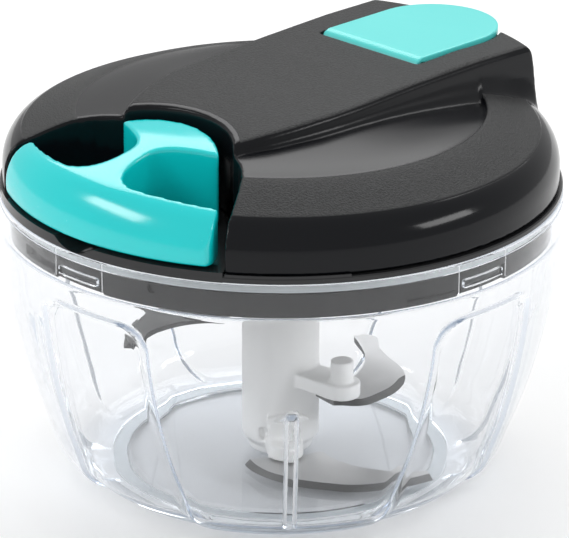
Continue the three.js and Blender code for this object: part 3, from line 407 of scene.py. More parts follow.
class Board:
    """A small builder for one node tree."""

    def __init__(self, tree: Tree) -> None:
        """Starts on an empty tree."""
        self.tree = tree
        tree.nodes.clear()

    def add(self, kind: str, **values: object) -> Node:
        """Adds a node and sets its properties."""
        node = self.tree.nodes.new(kind)
        for key, value in values.items():
            setattr(node, key, value)
        return node

    def feed(self, socket: Socket, value: object) -> None:
        """Links a socket to another, or sets its value."""
        if isinstance(value, bpy.types.NodeSocket):
            self.tree.links.new(value, socket)
        else:
            socket.default_value = value

    def math(self, operation: str, *values: object) -> Socket:
        """One Math node on sockets or numbers."""
        node = self.add("ShaderNodeMath", operation=operation)
        for socket, value in zip(node.inputs, values):
            self.feed(socket, value)
        return node.outputs[0]

    def step(self, value: Socket, low: float, high: float) -> Socket:
        """Soft step of a value from 0 at low to 1 at high. High may be under low."""
        node = self.add("ShaderNodeMapRange", interpolation_type="SMOOTHSTEP")
        self.feed(node.inputs["Value"], value)
        if low <= high:
            ends = (low, high, 0.0, 1.0)
        else:
            ends = (high, low, 1.0, 0.0)
        for name, end in zip(("From Min", "From Max", "To Min", "To Max"), ends):
            self.feed(node.inputs[name], end)
        return node.outputs["Result"]

    def band(self, value: Socket, edges: Point, base: float = 0.0) -> Socket:
        """Soft step from 0 to 1 between two places in millimetres, counted from a base."""
        return self.step(value, *((base + edge) * MM for edge in edges))

    def _mixer(self, kind: str, first: int, values: Sequence[object]) -> Node:
        """Mix node of one data type, whose pair of values starts at a socket."""
        node = self.add("ShaderNodeMix", data_type=kind)
        for index, value in zip((0, first, first + 1), values):
            self.feed(node.inputs[index], value)
        return node

    def blend(self, share: object, first: object, second: object) -> Socket:
        """Mix of two colours."""
        return self._mixer("RGBA", 6, (share, first, second)).outputs[2]

    def mix(self, share: object, first: object, second: object) -> Socket:
        """Mix of two numbers."""
        return self._mixer("FLOAT", 2, (share, first, second)).outputs[0]

    def place(self) -> tuple[Socket, Socket, Socket, Socket]:
        """Object coordinates: the vector and its X, Y and Z."""
        vector = self.add("ShaderNodeTexCoord").outputs["Object"]
        split = self.add("ShaderNodeSeparateXYZ")
        self.feed(split.inputs[0], vector)
        return vector, split.outputs[0], split.outputs[1], split.outputs[2]

    def radius(self, x: Socket, y: Socket) -> Socket:
        """Distance from the point where both coordinates are 0."""
        squares = [self.math("MULTIPLY", c, c) for c in (x, y)]
        return self.math("SQRT", self.math("ADD", *squares))

    def upward(self) -> Socket:
        """How far the surface faces up, from -1 to 1."""
        split = self.add("ShaderNodeSeparateXYZ")
        self.feed(split.inputs[0], self.add("ShaderNodeTexCoord").outputs["Normal"])
        return split.outputs[2]

    def noise(self, vector: Socket, **values: float) -> Socket:
        """Noise on coordinates, with the named sockets set."""
        node = self.add("ShaderNodeTexNoise")
        self.feed(node.inputs["Vector"], vector)
        for name, value in values.items():
            node.inputs[name].default_value = value
        return node.outputs["Fac"]

    def curve(self, table: Sequence[Point], at: Socket) -> Socket:
        """Smooth curve through a table of shares, read at a share from 0 to 1."""
        node = self.add("ShaderNodeFloatCurve")
        points = node.mapping.curves[0].points
        points[0].location, points[1].location = (0.0, table[0][1]), (1.0, table[-1][1])
        for share, value in table:
            points.new(share, value)
        node.mapping.update()
        self.feed(node.inputs["Value"], at)
        return node.outputs[0]

    def bump(self, height: Socket, depth: float, strength: float = 1.0) -> Socket:
        """Bump of a depth in millimetres."""
        node = self.add("ShaderNodeBump")
        node.inputs["Strength"].default_value = strength
        node.inputs["Distance"].default_value = depth * MM
        self.feed(node.inputs["Height"], height)
        return node.outputs["Normal"]


class Effect(Enum):
    """Shared surface effects, each one node group."""

    GRAIN = "moulded_grain"
    HANDLING = "handling_marks"
    FLOW = "mould_flow"
    BRUSHING = "brushed_lines"


class Effects:
    """Builds each shared effect once and places it in materials."""

    def __init__(self) -> None:
        """Makes the groups."""
        self.groups = {
            Effect.GRAIN: self._grain(),
            Effect.HANDLING: self._handling(),
            Effect.FLOW: self._flow(),
            Effect.BRUSHING: self._brushing(),
        }

    @staticmethod
    def _open(effect: Effect, per_metre: float, *outputs: str) -> tuple[Board, Socket, Socket, Node]:
        """Starts a group that takes coordinates and a number of features per metre.

        Args:
            effect: Which effect the group is.
            per_metre: Features per metre where a material gives none.
            outputs: Names of the numbers that the group gives.

        Returns:
            The group's tree, its two inputs and its output node.
        """
        board = Board(bpy.data.node_groups.new(effect.value, "ShaderNodeTree"))
        sockets = board.tree.interface
        sockets.new_socket("Place", in_out="INPUT", socket_type="NodeSocketVector")
        rate = sockets.new_socket("Per metre", in_out="INPUT", socket_type="NodeSocketFloat")
        rate.default_value = per_metre
        for name in outputs:
            sockets.new_socket(name, in_out="OUTPUT", socket_type="NodeSocketFloat")
        given = board.add("NodeGroupInput")
        return board, given.outputs[0], given.outputs[1], board.add("NodeGroupOutput")

    @staticmethod
    def _scaled(board: Board, vector: Socket, per_metre: Socket) -> Socket:
        """Coordinates times a number of features per metre."""
        node = board.add("ShaderNodeVectorMath", operation="SCALE")
        board.feed(node.inputs[0], vector)
        board.feed(node.inputs["Scale"], per_metre)
        return node.outputs[0]

    def _grain(self) -> Tree:
        """Fine leather-like pits of a sparked mould: a height, and a mask of the pits."""
        board, place, per_metre, out = self._open(Effect.GRAIN, 2000.0, "Height", "Pits")
        scaled = self._scaled(board, place, per_metre)
        spots = board.add("ShaderNodeTexVoronoi", feature="SMOOTH_F1")
        board.feed(spots.inputs["Vector"], scaled)
        spots.inputs["Scale"].default_value = 1.0
        spots.inputs["Smoothness"].default_value = 0.6
        cloud = board.noise(scaled, Scale=0.6, Detail=4.0)
        height = board.math("ADD", spots.outputs["Distance"], board.math("MULTIPLY", cloud, 0.7))
        board.feed(out.inputs["Height"], height)
        board.feed(out.inputs["Pits"], board.step(height, 0.95, 0.55))
        return board.tree

    def _handling(self) -> Tree:
        """Faint smears and specks left by hands: a mask of smears and one of specks."""
        board, place, per_metre, out = self._open(Effect.HANDLING, 28.0, "Smears", "Specks")
        scaled = self._scaled(board, place, per_metre)
        smears = board.noise(scaled, Scale=1.0, Detail=6.0, Distortion=0.6)
        specks = board.noise(scaled, Scale=34.0, Detail=2.0)
        board.feed(out.inputs["Smears"], board.step(smears, 0.5, 0.72))
        board.feed(out.inputs["Specks"], board.step(specks, 0.7, 0.78))
        return board.tree

    def _flow(self) -> Tree:
        """Slow change of tone where melt has flowed into a mould."""
        board, place, per_metre, out = self._open(Effect.FLOW, 14.0, "Tone")
        tone = board.noise(self._scaled(board, place, per_metre), Scale=1.0, Detail=2.0)
        board.feed(out.inputs["Tone"], board.step(tone, 0.3, 0.7))
        return board.tree

    def _brushing(self) -> Tree:
        """Fine straight lines along X: a height."""
        board, place, per_metre, out = self._open(Effect.BRUSHING, 5200.0, "Height")
        drawn = board.add("ShaderNodeVectorMath", operation="MULTIPLY")
        board.feed(drawn.inputs[0], place)
        drawn.inputs[1].default_value = (0.03, 1.0, 1.0)
        lines = board.noise(self._scaled(board, drawn.outputs[0], per_metre), Scale=1.0, Detail=3.0)
        board.feed(out.inputs["Height"], lines)
        return board.tree

    def use(self, board: Board, effect: Effect, place: Socket, per_metre: float | None = None) -> Node:
        """Places one effect in a material.

        Args:
            board: The material's tree.
            effect: Which effect.
            place: Object coordinates.
            per_metre: Features per metre, or None for the effect's own.

        Returns:
            The group's node.
        """
        node = board.add("ShaderNodeGroup", node_tree=self.groups[effect])
        board.feed(node.inputs[0], place)
        if per_metre is not None:
            node.inputs["Per metre"].default_value = per_metre
        return node


class Finish:
    """What every finish shares: a material with one Principled shader."""

    name: str

    def board(self) -> tuple[bpy.types.Material, Board, Node, Node]:
        """A new material, its tree, its Principled shader and its output."""
        material = bpy.data.materials.new(self.name)
        material.use_nodes = True
        board = Board(material.node_tree)
        shader = board.add("ShaderNodeBsdfPrincipled")
        out = board.add("ShaderNodeOutputMaterial")
        board.feed(out.inputs["Surface"], shader.outputs[0])
        return material, board, shader, out


@dataclass(frozen=True)
class ClearPlastic(Finish):
    """Polished clear plastic with a faint cool tint, greyer in the round floor of the bowl: painted shade for
    the shadowed floor seen under it.
    """

    name: str = "clear_plastic"
    tint: Colour = (0.972, 0.973, 0.975, 1.0)
    passed: Colour = (0.98, 0.985, 0.99, 1.0)
    absorbed: Colour = (0.72, 0.78, 0.86, 1.0)
    density: float = 38.0
    index: float = 1.4
    roughness: float = 0.01
    smeared: float = 0.035
    flow_rate: float = 60.0
    flow_depth: float = 0.02
    flow_strength: float = 0.4
    inner_bounces: float = 2.5
    bounces: float = 5.5
    # Painted shade: the grey of the round floor inside the foot stands for the shadowed floor seen through
    # it.
    disc: Colour = (0.79, 0.79, 0.792, 1.0)
    shade_disc_radius: float = 36.0
    shade_disc_edge: Point = (0.4, -0.4)
    shade_disc_heights: Point = (5.0, 4.6)

    def build(self, effects: Effects) -> bpy.types.Material:
        """Glass-like body with a painted-shade disc in its floor, smears in its gloss, and open to the lamps'
        rays.
        """
        material, board, shader, out = self.board()
        place, x, y, z = board.place()
        marks = effects.use(board, Effect.HANDLING, place)
        # Painted shade: greys the bowl's floor inside the foot ring, low down, towards the disc colour.
        disc = board.math("MULTIPLY", board.band(board.radius(x, y), self.shade_disc_edge, self.shade_disc_radius),
                          board.band(z, self.shade_disc_heights))
        board.feed(shader.inputs["Base Color"], board.blend(disc, self.tint, self.disc))
        shader.inputs["IOR"].default_value = self.index
        shader.inputs["Transmission Weight"].default_value = 1.0
        rough = board.mix(marks.outputs["Smears"], self.roughness, self.smeared)
        board.feed(shader.inputs["Roughness"], rough)
        flow = effects.use(board, Effect.FLOW, place, self.flow_rate)
        skin = board.bump(flow.outputs["Tone"], self.flow_depth, self.flow_strength)
        board.feed(shader.inputs["Normal"], skin)
        clear = board.add("ShaderNodeBsdfTransparent")
        clear.inputs["Color"].default_value = self.passed
        path = board.add("ShaderNodeLightPath")
        mixer = board.add("ShaderNodeMixShader")
        inner = board.math("GREATER_THAN", path.outputs["Glossy Depth"], self.inner_bounces)
        deep = board.math("GREATER_THAN", path.outputs["Ray Depth"], self.bounces)
        spent = board.math("MAXIMUM", inner, deep)
        board.feed(mixer.inputs[0], board.math("MAXIMUM", path.outputs["Is Shadow Ray"], spent))
        board.feed(mixer.inputs[1], shader.outputs[0])
        board.feed(mixer.inputs[2], clear.outputs[0])
        board.feed(out.inputs["Surface"], mixer.outputs[0])
        volume = board.add("ShaderNodeVolumeAbsorption")
        volume.inputs["Color"].default_value = self.absorbed
        volume.inputs["Density"].default_value = self.density
        board.feed(out.inputs["Volume"], volume.outputs[0])
        return material


@dataclass(frozen=True)
class Moulded(Finish):
    """Coloured plastic, satin or polished."""

    name: str
    colour: Colour
    deep: Colour
    roughness: float
    grain_depth: float = 0.0
    grain_size: float = 0.4
    specular: float = 0.5
    glow: float = 0.0
    glow_depth: float = 1.5
    grain_strength: float = 0.6
    smear_gain: float = 1.35
    speck_gain: float = 1.8

    def build(self, effects: Effects) -> bpy.types.Material:
        """Flow marks in the colour, smears in the gloss and a fine skin."""
        material, board, shader, _ = self.board()
        place, _, _, _ = board.place()
        flow = effects.use(board, Effect.FLOW, place)
        marks = effects.use(board, Effect.HANDLING, place)
        board.feed(shader.inputs["Base Color"], board.blend(flow.outputs["Tone"], self.colour, self.deep))
        rough = board.mix(marks.outputs["Smears"], self.roughness, self.roughness * self.smear_gain)
        specked = min(1.0, self.roughness * self.speck_gain)
        board.feed(shader.inputs["Roughness"], board.mix(marks.outputs["Specks"], rough, specked))
        shader.inputs["Specular IOR Level"].default_value = self.specular
        if self.glow:
            shader.inputs["Subsurface Weight"].default_value = self.glow
            shader.inputs["Subsurface Radius"].default_value = (1.0, 1.0, 1.0)
            shader.inputs["Subsurface Scale"].default_value = self.glow_depth * MM
        if self.grain_depth:
            grain = effects.use(board, Effect.GRAIN, place, 1 / (self.grain_size * MM))
            skin = board.bump(grain.outputs["Height"], self.grain_depth, self.grain_strength)
            board.feed(shader.inputs["Normal"], skin)
        return material


@dataclass(frozen=True)
class Steel(Finish):
    """Ground or turned steel."""

    name: str
    colour: Colour = (0.52, 0.52, 0.53, 1.0)
    roughness: float = 0.3
    line_depth: float = 0.004
    line_gain: float = 1.5
    flow_rate: float = 70.0
    dark_share: float = 0.86
    # Painted reflection: a dark colour on faces that turn away from straight up, for the ground bevel's
    # reflection of the dark lid.
    ground: Colour | None = None
    reflection_facing: Point = (0.97, 0.93)

    def build(self, effects: Effects) -> bpy.types.Material:
        """Brushed lines in the surface, a slow change of tone, and where given a painted dark reflection on
        tilted faces.
        """
        material, board, shader, _ = self.board()
        place, _, _, _ = board.place()
        flow = effects.use(board, Effect.FLOW, place, self.flow_rate)
        dark = tuple(c * self.dark_share for c in self.colour[:3]) + (1.0,)
        colour = board.blend(flow.outputs["Tone"], self.colour, dark)
        # Painted reflection: darkens the faces that tilt from upward.
        if self.ground:
            colour = board.blend(board.step(board.upward(), *self.reflection_facing), colour, self.ground)
        board.feed(shader.inputs["Base Color"], colour)
        shader.inputs["Metallic"].default_value = 1.0
        lines = effects.use(board, Effect.BRUSHING, place)
        rough = board.mix(lines.outputs["Height"], self.roughness, self.roughness * self.line_gain)
        board.feed(shader.inputs["Roughness"], rough)
        board.feed(shader.inputs["Normal"], board.bump(lines.outputs["Height"], self.line_depth))
        return material


@dataclass(frozen=True)
class LidPlan:
    """Sizes of the lid that its shape and its finish share, in millimetres."""

    radius: float = 65.0
    foot: float = 73.0
    shoulder: float = 85.1
    dish_radius: float = 47.7
    dish_drop: float = 1.5
    strap_front: float = -34.0
    strap_root: float = 80.0
    end_radius: float = 64.2
    recess_centre: float = -51.9
    recess_radius: float = 25.9
    recess_floor: float = 73.6
    hatch_half: float = 15.4
    hatch_round: float = 51.6
    hatch_gap: float = 0.6
    chute_half: float = 12.0
    chute_root: float = 34.4
    chute_middle: float = 44.0
    side: tuple[Point, ...] = (
        (65.0, 73.0), (65.0, 75.0), (65.0, 77.0), (64.84, 78.82), (64.38, 80.56), (63.62, 82.14),
        (62.62, 83.5), (61.4, 84.58), (60.14, 85.27))
    crown: tuple[Point, ...] = (
        (60.14, 85.27), (58.0, 86.1), (56.0, 86.9), (52.0, 88.4), (47.7, 89.6), (40.0, 90.7), (25.0, 92.0),
        (12.0, 92.6), (0.0, 92.8))
    strap_top: tuple[Point, ...] = (
        (-36.0, 92.4), (-33.0, 93.1), (-25.0, 94.5), (-12.0, 95.6), (0.0, 96.0), (20.0, 96.8), (40.0, 97.3),
        (62.0, 97.0))
    strap_half: tuple[Point, ...] = (
        (-40.0, 15.0), (-33.0, 18.0), (-25.0, 21.4), (-12.0, 24.4), (0.0, 25.2), (20.0, 25.2), (62.0, 25.8))
    recess_side: tuple[Point, ...] = ((17.7, -33.0), (26.8, -39.3), (39.4, -58.4), (52.0, -77.0))

    def strap_edge(self, y: float) -> float:
        """Half width of the strap's top at a depth."""
        return lerp(smooth_table(self.strap_half, 8), y)

    def chute_outline(self, grow: float, steps: int = 30) -> list[Point]:
        """Plan of the chute's bore, grown by a wall or shrunk by a gap."""
        return tongue(self.chute_half + grow, self.chute_root - grow, self.chute_middle, steps)

    def recess_outline(self, grow: float) -> list[Point]:
        """Plan of the hollow for the handle, grown by a wall or a gap."""
        mouth = self.recess_side[0][0]
        half = math.degrees(math.asin(mouth / self.recess_radius))
        back = arc(0, self.recess_centre, self.recess_radius + grow, 90 - half, 90 + half, 24)
        corner = rounded_path([back[0], *[(x + grow, y + grow / 2) for x, y in self.recess_side[1:]]], 4)[1:]
        return [*back, *mirrored(corner)[::-1], *reversed(corner)]


class Studio:
    """Pale floor, camera at the photograph's angle, a wide lamp behind and a small one on each side."""

    camera_place = (0.65289, -0.65157, 0.41626)
    camera_turn = (68.2871, -0.1721, 45.0720)
    camera_lens = 266.345
    sensor_width = 36.0
    clip_start = 0.01
    aim = (0.0, 0.0, 0.06)
    floor_size = 6.0
    wall_light = 0.65
    gloss_light = 0.6
    floor_tone = 0.92
    floor_lift = 0.06
    lamps = (
        ("back_sheet", (-1.116, 1.239, 1.786), (2.34, 1.38), 31.0),
        ("left_box", (-0.6, -1.1, 0.8), (0.7, 0.3), 5.0),
        ("right_box", (1.25, 0.64, 0.7), (0.65, 0.3), 5.0),
    )

    def build(self) -> None:
        """Makes the stage."""
        bpy.context.scene.view_settings.view_transform = "Standard"
        self._camera()
        self._world()
        self._floor()
        for lamp in self.lamps:
            self._lamp(*lamp)

    def _camera(self) -> None:
        """Camera at the photograph's place."""
        data = bpy.data.cameras.new("camera")
        data.lens = self.camera_lens
        data.sensor_width = self.sensor_width
        data.clip_start = self.clip_start
        obj = bpy.data.objects.new("camera", data)
        obj.location = self.camera_place
        obj.rotation_euler = [math.radians(a) for a in self.camera_turn]
        bpy.context.scene.collection.objects.link(obj)
        bpy.context.scene.camera = obj

    @staticmethod
    def _looks(board: Board) -> tuple[Socket, Socket]:
        """1 for a look from the eye or through clear plastic, and 1 for a look from a reflection."""
        path = board.add("ShaderNodeLightPath")
        clear = board.math("MAXIMUM", path.outputs["Is Camera Ray"], path.outputs["Is Transmission Ray"])
        return clear, path.outputs["Is Glossy Ray"]

    def _world(self) -> None:
        """White to the eye and in reflections, softer as a light."""
        world = bpy.data.worlds.new("studio")
        world.use_nodes = True
        board = Board(world.node_tree)
        shade = board.add("ShaderNodeBackground")
        shade.inputs["Color"].default_value = (1.0, 1.0, 1.0, 1.0)
        clear, glossy = self._looks(board)
        light = board.mix(glossy, self.wall_light, self.gloss_light)
        board.feed(shade.inputs["Strength"], board.mix(clear, light, 1.0))
        out = board.add("ShaderNodeOutputWorld")
        board.feed(out.inputs["Surface"], shade.outputs[0])
        bpy.context.scene.world = world

    def _floor(self) -> None:
        """Plain white floor that keeps a soft shadow."""
        bpy.ops.object.select_all(action="DESELECT")
        bpy.ops.mesh.primitive_grid_add(x_subdivisions=4, y_subdivisions=4, size=self.floor_size)
        floor = bpy.context.active_object
        floor.name = "floor"
        material = bpy.data.materials.new("floor_white")
        material.use_nodes = True
        board = Board(material.node_tree)
        matt = board.add("ShaderNodeBsdfDiffuse")
        matt.inputs["Color"].default_value = (self.floor_tone, self.floor_tone, self.floor_tone, 1.0)
        lift = board.add("ShaderNodeEmission")
        seen = board.math("MAXIMUM", *self._looks(board))
        board.feed(lift.inputs["Strength"], board.math("MULTIPLY", seen, self.floor_lift))
        both = board.add("ShaderNodeAddShader")
        board.feed(both.inputs[0], matt.outputs[0])
        board.feed(both.inputs[1], lift.outputs[0])
        out = board.add("ShaderNodeOutputMaterial")
        board.feed(out.inputs["Surface"], both.outputs[0])
        floor.data.materials.append(material)

    def _lamp(self, name: str, place: Sequence[float], size: Point, power: float) -> None:
        """One area lamp aimed at the middle of the object."""
        data = bpy.data.lights.new(name, "AREA")
        data.shape = "RECTANGLE"
        data.size, data.size_y = size
        data.energy = power
        obj = bpy.data.objects.new(name, data)
        obj.location = place
        obj.rotation_euler = (Vector(self.aim) - Vector(place)).to_track_quat("-Z", "Y").to_euler()
        bpy.context.scene.collection.objects.link(obj)


@dataclass
class Piece:
    """A finished piece on its way into the scene."""

    obj: Object
    body: str
    slot: str
    nodes: tuple[str, ...]

    def settle(self, material: bpy.types.Material) -> None:
        """Dresses the piece, hides the CAD nodes that it stands for and sets it on its body."""
        self.obj.data.materials.clear()
        self.obj.data.materials.append(material)
        if self.nodes:
            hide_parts(*self.nodes)
        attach(self.obj, self.body)
        LOG.info("%s on %s, %d faces", self.obj.name, self.body, len(self.obj.data.polygons))


@dataclass
class Bowl:
    """Clear bowl with four pressed panels, four inner ribs, a foot and lugs under its rim."""

    radius: float = 66.0
    rim: float = 71.0
    ledge: float = 62.4
    rim_inner: float = 63.8
    bead: float = 0.45
    wall: float = 2.6
    floor: float = 4.2
    foot_lift: float = 0.6
    underside: float = 0.9
    base_radius: float = 43.5
    groove_outer: float = 40.5
    groove_inner: float = 36.7
    groove_top: float = 2.1
    panel_turn: float = 2.5
    panel_half_top: float = 14.5
    panel_half_foot: float = 16.1
    panel_edge: float = 1.2
    panel_depth: float = 1.3
    panel_top: float = 56.0
    shoulder_radius: float = 7.0
    rib_half: float = 1.6
    rib_depth: float = 1.7
    rib_top: float = 38.6
    half_columns: tuple[int, int, int, int] = (12, 6, 7, 5)
    body: tuple[Point, ...] = (
        (43.5, 0.6), (45.8, 1.5), (49.3, 4.0), (52.8, 8.0), (55.2, 14.0), (58.3, 22.0), (61.3, 32.0),
        (63.9, 44.0), (65.5, 56.0), (66.0, 62.0))
    lug_half: float = 6.2
    lug_low: float = 64.2
    lug_high: float = 66.2
    lug_reach: float = 1.2
    lug_root: float = 1.0
    lug_round: float = 0.5
    seam_angle: float = 6.7
    seam_half: float = 0.16
    seam_depth: float = 0.3
    seam_low: float = 63.4
    seam_high: float = 70.4
    rim_loops: Point = (65.0, 68.0)
    line_low: float = 69.3
    line_high: float = 69.94
    line_depth: float = 0.22
    line_slope: float = 0.12
    press_from: Point = (42.0, 45.0)
    ring_width: float = 3.2
    ring_round: float = 0.4
    boss_radius: float = 5.0
    boss_height: float = 3.2
    bore_radius: float = 2.3
    bore_top: float = 23.6

    def __post_init__(self) -> None:
        """Smooths the curve of the wall."""
        self.curve = rounded_path(self.body, 12)

    def outer(self, height: float) -> float:
        """Outer radius of the plain wall at a height."""
        return lerp([(z, r) for r, z in self.curve], height)

    def _profile(self) -> list[Point]:
        """Section from the middle of the underside, up the outside, over the rim and down the inside."""
        under = [(0.0, self.underside), (self.groove_inner, self.underside),
                 (self.groove_inner, self.groove_top), (self.groove_outer, self.groove_top),
                 (self.groove_outer, self.foot_lift)]
        bead = arc(self.radius - self.bead, self.rim - self.bead, self.bead, 0, 90, 5)
        groove = self.radius - self.line_depth
        line = [(self.radius, self.line_low), (groove, self.line_low + self.line_slope),
                (groove, self.line_high - self.line_slope), (self.radius, self.line_high)]
        loops = [(self.radius, z) for z in self.rim_loops]
        top = [*loops, *line, *bead, (self.rim_inner + 0.5, self.rim)]
        inner = self.rim_inner
        inner_rim = [(inner, self.rim - 0.5), *((inner, z) for z in reversed(self.rim_loops)),
                     (inner, self.ledge + 0.3), (inner - 0.3, self.ledge)]
        fall = [(r - self.wall, z) for r, z in reversed(self.curve)
                if self.floor + 2.4 < z < self.ledge - 0.6]
        last_r, last_z = fall[-1]
        toe = [(last_r - 1.2, last_z - 1.3), (last_r - 3.0, last_z - 2.0), (last_r - 5.2, self.floor + 0.05)]
        boss, boss_top = self.boss_radius, self.floor + self.boss_height
        loops = [(r, self.floor) for r in (40.0, 30.0, boss + 1.6, boss + 0.9, boss + 0.5)]
        inside = [*loops, (boss, self.floor + 0.4), (boss - 0.2, boss_top), (boss - 0.6, boss_top + 0.3),
                  (0.0, boss_top + 0.3)]
        return [*under, *self.curve, *top, *inner_rim, *fall, *toe, *inside]

    def _panel_half(self, radius: float) -> float:
        """Half width of a panel where the wall has a radius."""
        return lerp([(self.base_radius, self.panel_half_foot), (self.radius, self.panel_half_top)], radius)

    def _column_angle(self, column: int, radius: float) -> float:
        """Angle in degrees of a column at a radius, gathered at the panel edges and the ribs."""
        quarter_columns = 2 * sum(self.half_columns)
        quarter, local = divmod(column, quarter_columns)
        side = 1
        if local > quarter_columns / 2:
            side, local, quarter = -1, quarter_columns - local, quarter + 1
        half = self._panel_half(radius)
        panel = math.degrees(math.asin(min(0.9, half / radius)))
        edge = math.degrees(math.asin(min(0.95, (half + self.panel_edge) / radius)))
        rib = 45 - math.degrees(self.rib_half / radius)
        marks = (0.0, panel, edge, max(rib, edge + 1), 45.0)
        for count, low, high in zip(self.half_columns, marks, marks[1:]):
            if local <= count:
                return quarter * 90 + self.panel_turn + side * (low + (high - low) * local / count)
            local -= count
        return quarter * 90 + self.panel_turn + side * 45

    def _panel_share(self, across: float, height: float, half: float) -> float:
        """How far a place lies inside a panel, from 0 on the plain wall to 1."""
        corner = self.shoulder_radius
        x = max(0.0, abs(across) - (half + self.panel_edge - corner))
        z = max(0.0, height - (self.panel_top + self.panel_edge - corner))
        return smoothstep(corner, corner - self.panel_edge, math.hypot(x, z))

    def _press(self, obj: Object, columns: int) -> None:
        """Gathers the columns and presses the panels and ribs into the wall."""
        pitch = 360 / columns
        for v in obj.data.vertices:
            x, y, z = v.co / MM
            radius = math.hypot(x, y)
            if radius < self.press_from[0]:
                continue
            column = round((math.degrees(math.atan2(y, x)) % 360) / pitch) % columns
            angle = self._column_angle(column, radius)
            local = (angle - self.panel_turn + 45) % 90 - 45
            across = radius * math.sin(math.radians(local))
            inside = radius < self.outer(z) - self.wall / 2
            share = self._panel_share(across, z, self._panel_half(radius)) if z < self.ledge else 0.0
            share *= smoothstep(*self.press_from, radius)
            inset = self.panel_depth * share
            rib = self.rib_half - abs(radius * math.radians(45 - abs(local)))
            if inside and rib > 0 and z < self.rib_top:
                crest = smoothstep(0, self.rib_half * 0.6, rib) * smoothstep(0, 2.4, self.rib_top - z)
                inset += self.rib_depth * crest
            px, py = polar(radius - inset, angle)
            v.co = (px * MM, py * MM, z * MM)

    def _lugs(self) -> list[Object]:
        """Rounded bars inside the rim that the lid's channels take, and the mould's seams beside them."""
        lugs = []
        half = math.degrees(self.lug_half / self.rim_inner)
        for quarter in QUARTERS:
            outer = arc(0, 0, self.rim_inner + self.lug_root, quarter - half, quarter + half, 10)
            inner = arc(0, 0, self.rim_inner - self.lug_reach, quarter + half, quarter - half, 10)
            lug = Bench.slab("lug", [*outer, *inner], self.lug_low, self.lug_high)
            Bench.modify(lug, "BEVEL", width=self.lug_round * MM, segments=3, limit_method="ANGLE",
                         angle_limit=math.radians(50))
            lugs.append(lug)
            for side in (-1, 1):
                low, high = self.rim_inner - self.seam_depth, self.rim_inner + self.seam_depth
                outline = [(low, -self.seam_half), (high, -self.seam_half), (high, self.seam_half),
                           (low, self.seam_half)]
                seam = Bench.slab("seam", outline, self.seam_low, self.seam_high)
                lugs.append(Bench.turned(seam, quarter + side * self.seam_angle))
        return lugs

    def build(self, clear: bpy.types.Material, soft: bpy.types.Material) -> None:
        """Makes the bowl and the soft ring under it."""
        columns = 8 * sum(self.half_columns)
        bowl = Bench.lathe("clear_bowl", self._profile(), columns)
        self._press(bowl, columns)
        Bench.join(bowl, *self._lugs())
        Bench.cut(bowl, Bench.rod("bore", self.bore_radius, self.floor - 0.3, self.bore_top, steps=32))
        Bench.smooth(bowl, 40)
        Piece(bowl, "bowl", "clear_plastic", ("bowl",)).settle(clear)
        self._foot(soft)

    def _foot(self, soft: bpy.types.Material) -> None:
        """Soft ring with a rounded section."""
        first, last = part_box("foot_ring")
        low, high, outer = first.z / MM, last.z / MM, last.x / MM
        inner, edge = outer - self.ring_width, self.ring_round
        section = [(inner, low + edge), (inner + edge, low), (outer - edge, low), (outer, low + edge),
                   (outer, high), (inner, high)]
        ring = Bench.smooth(Bench.lathe("soft_foot_ring", section, 192))
        Piece(ring, "bowl", "silicone", ("foot_ring",)).settle(soft)


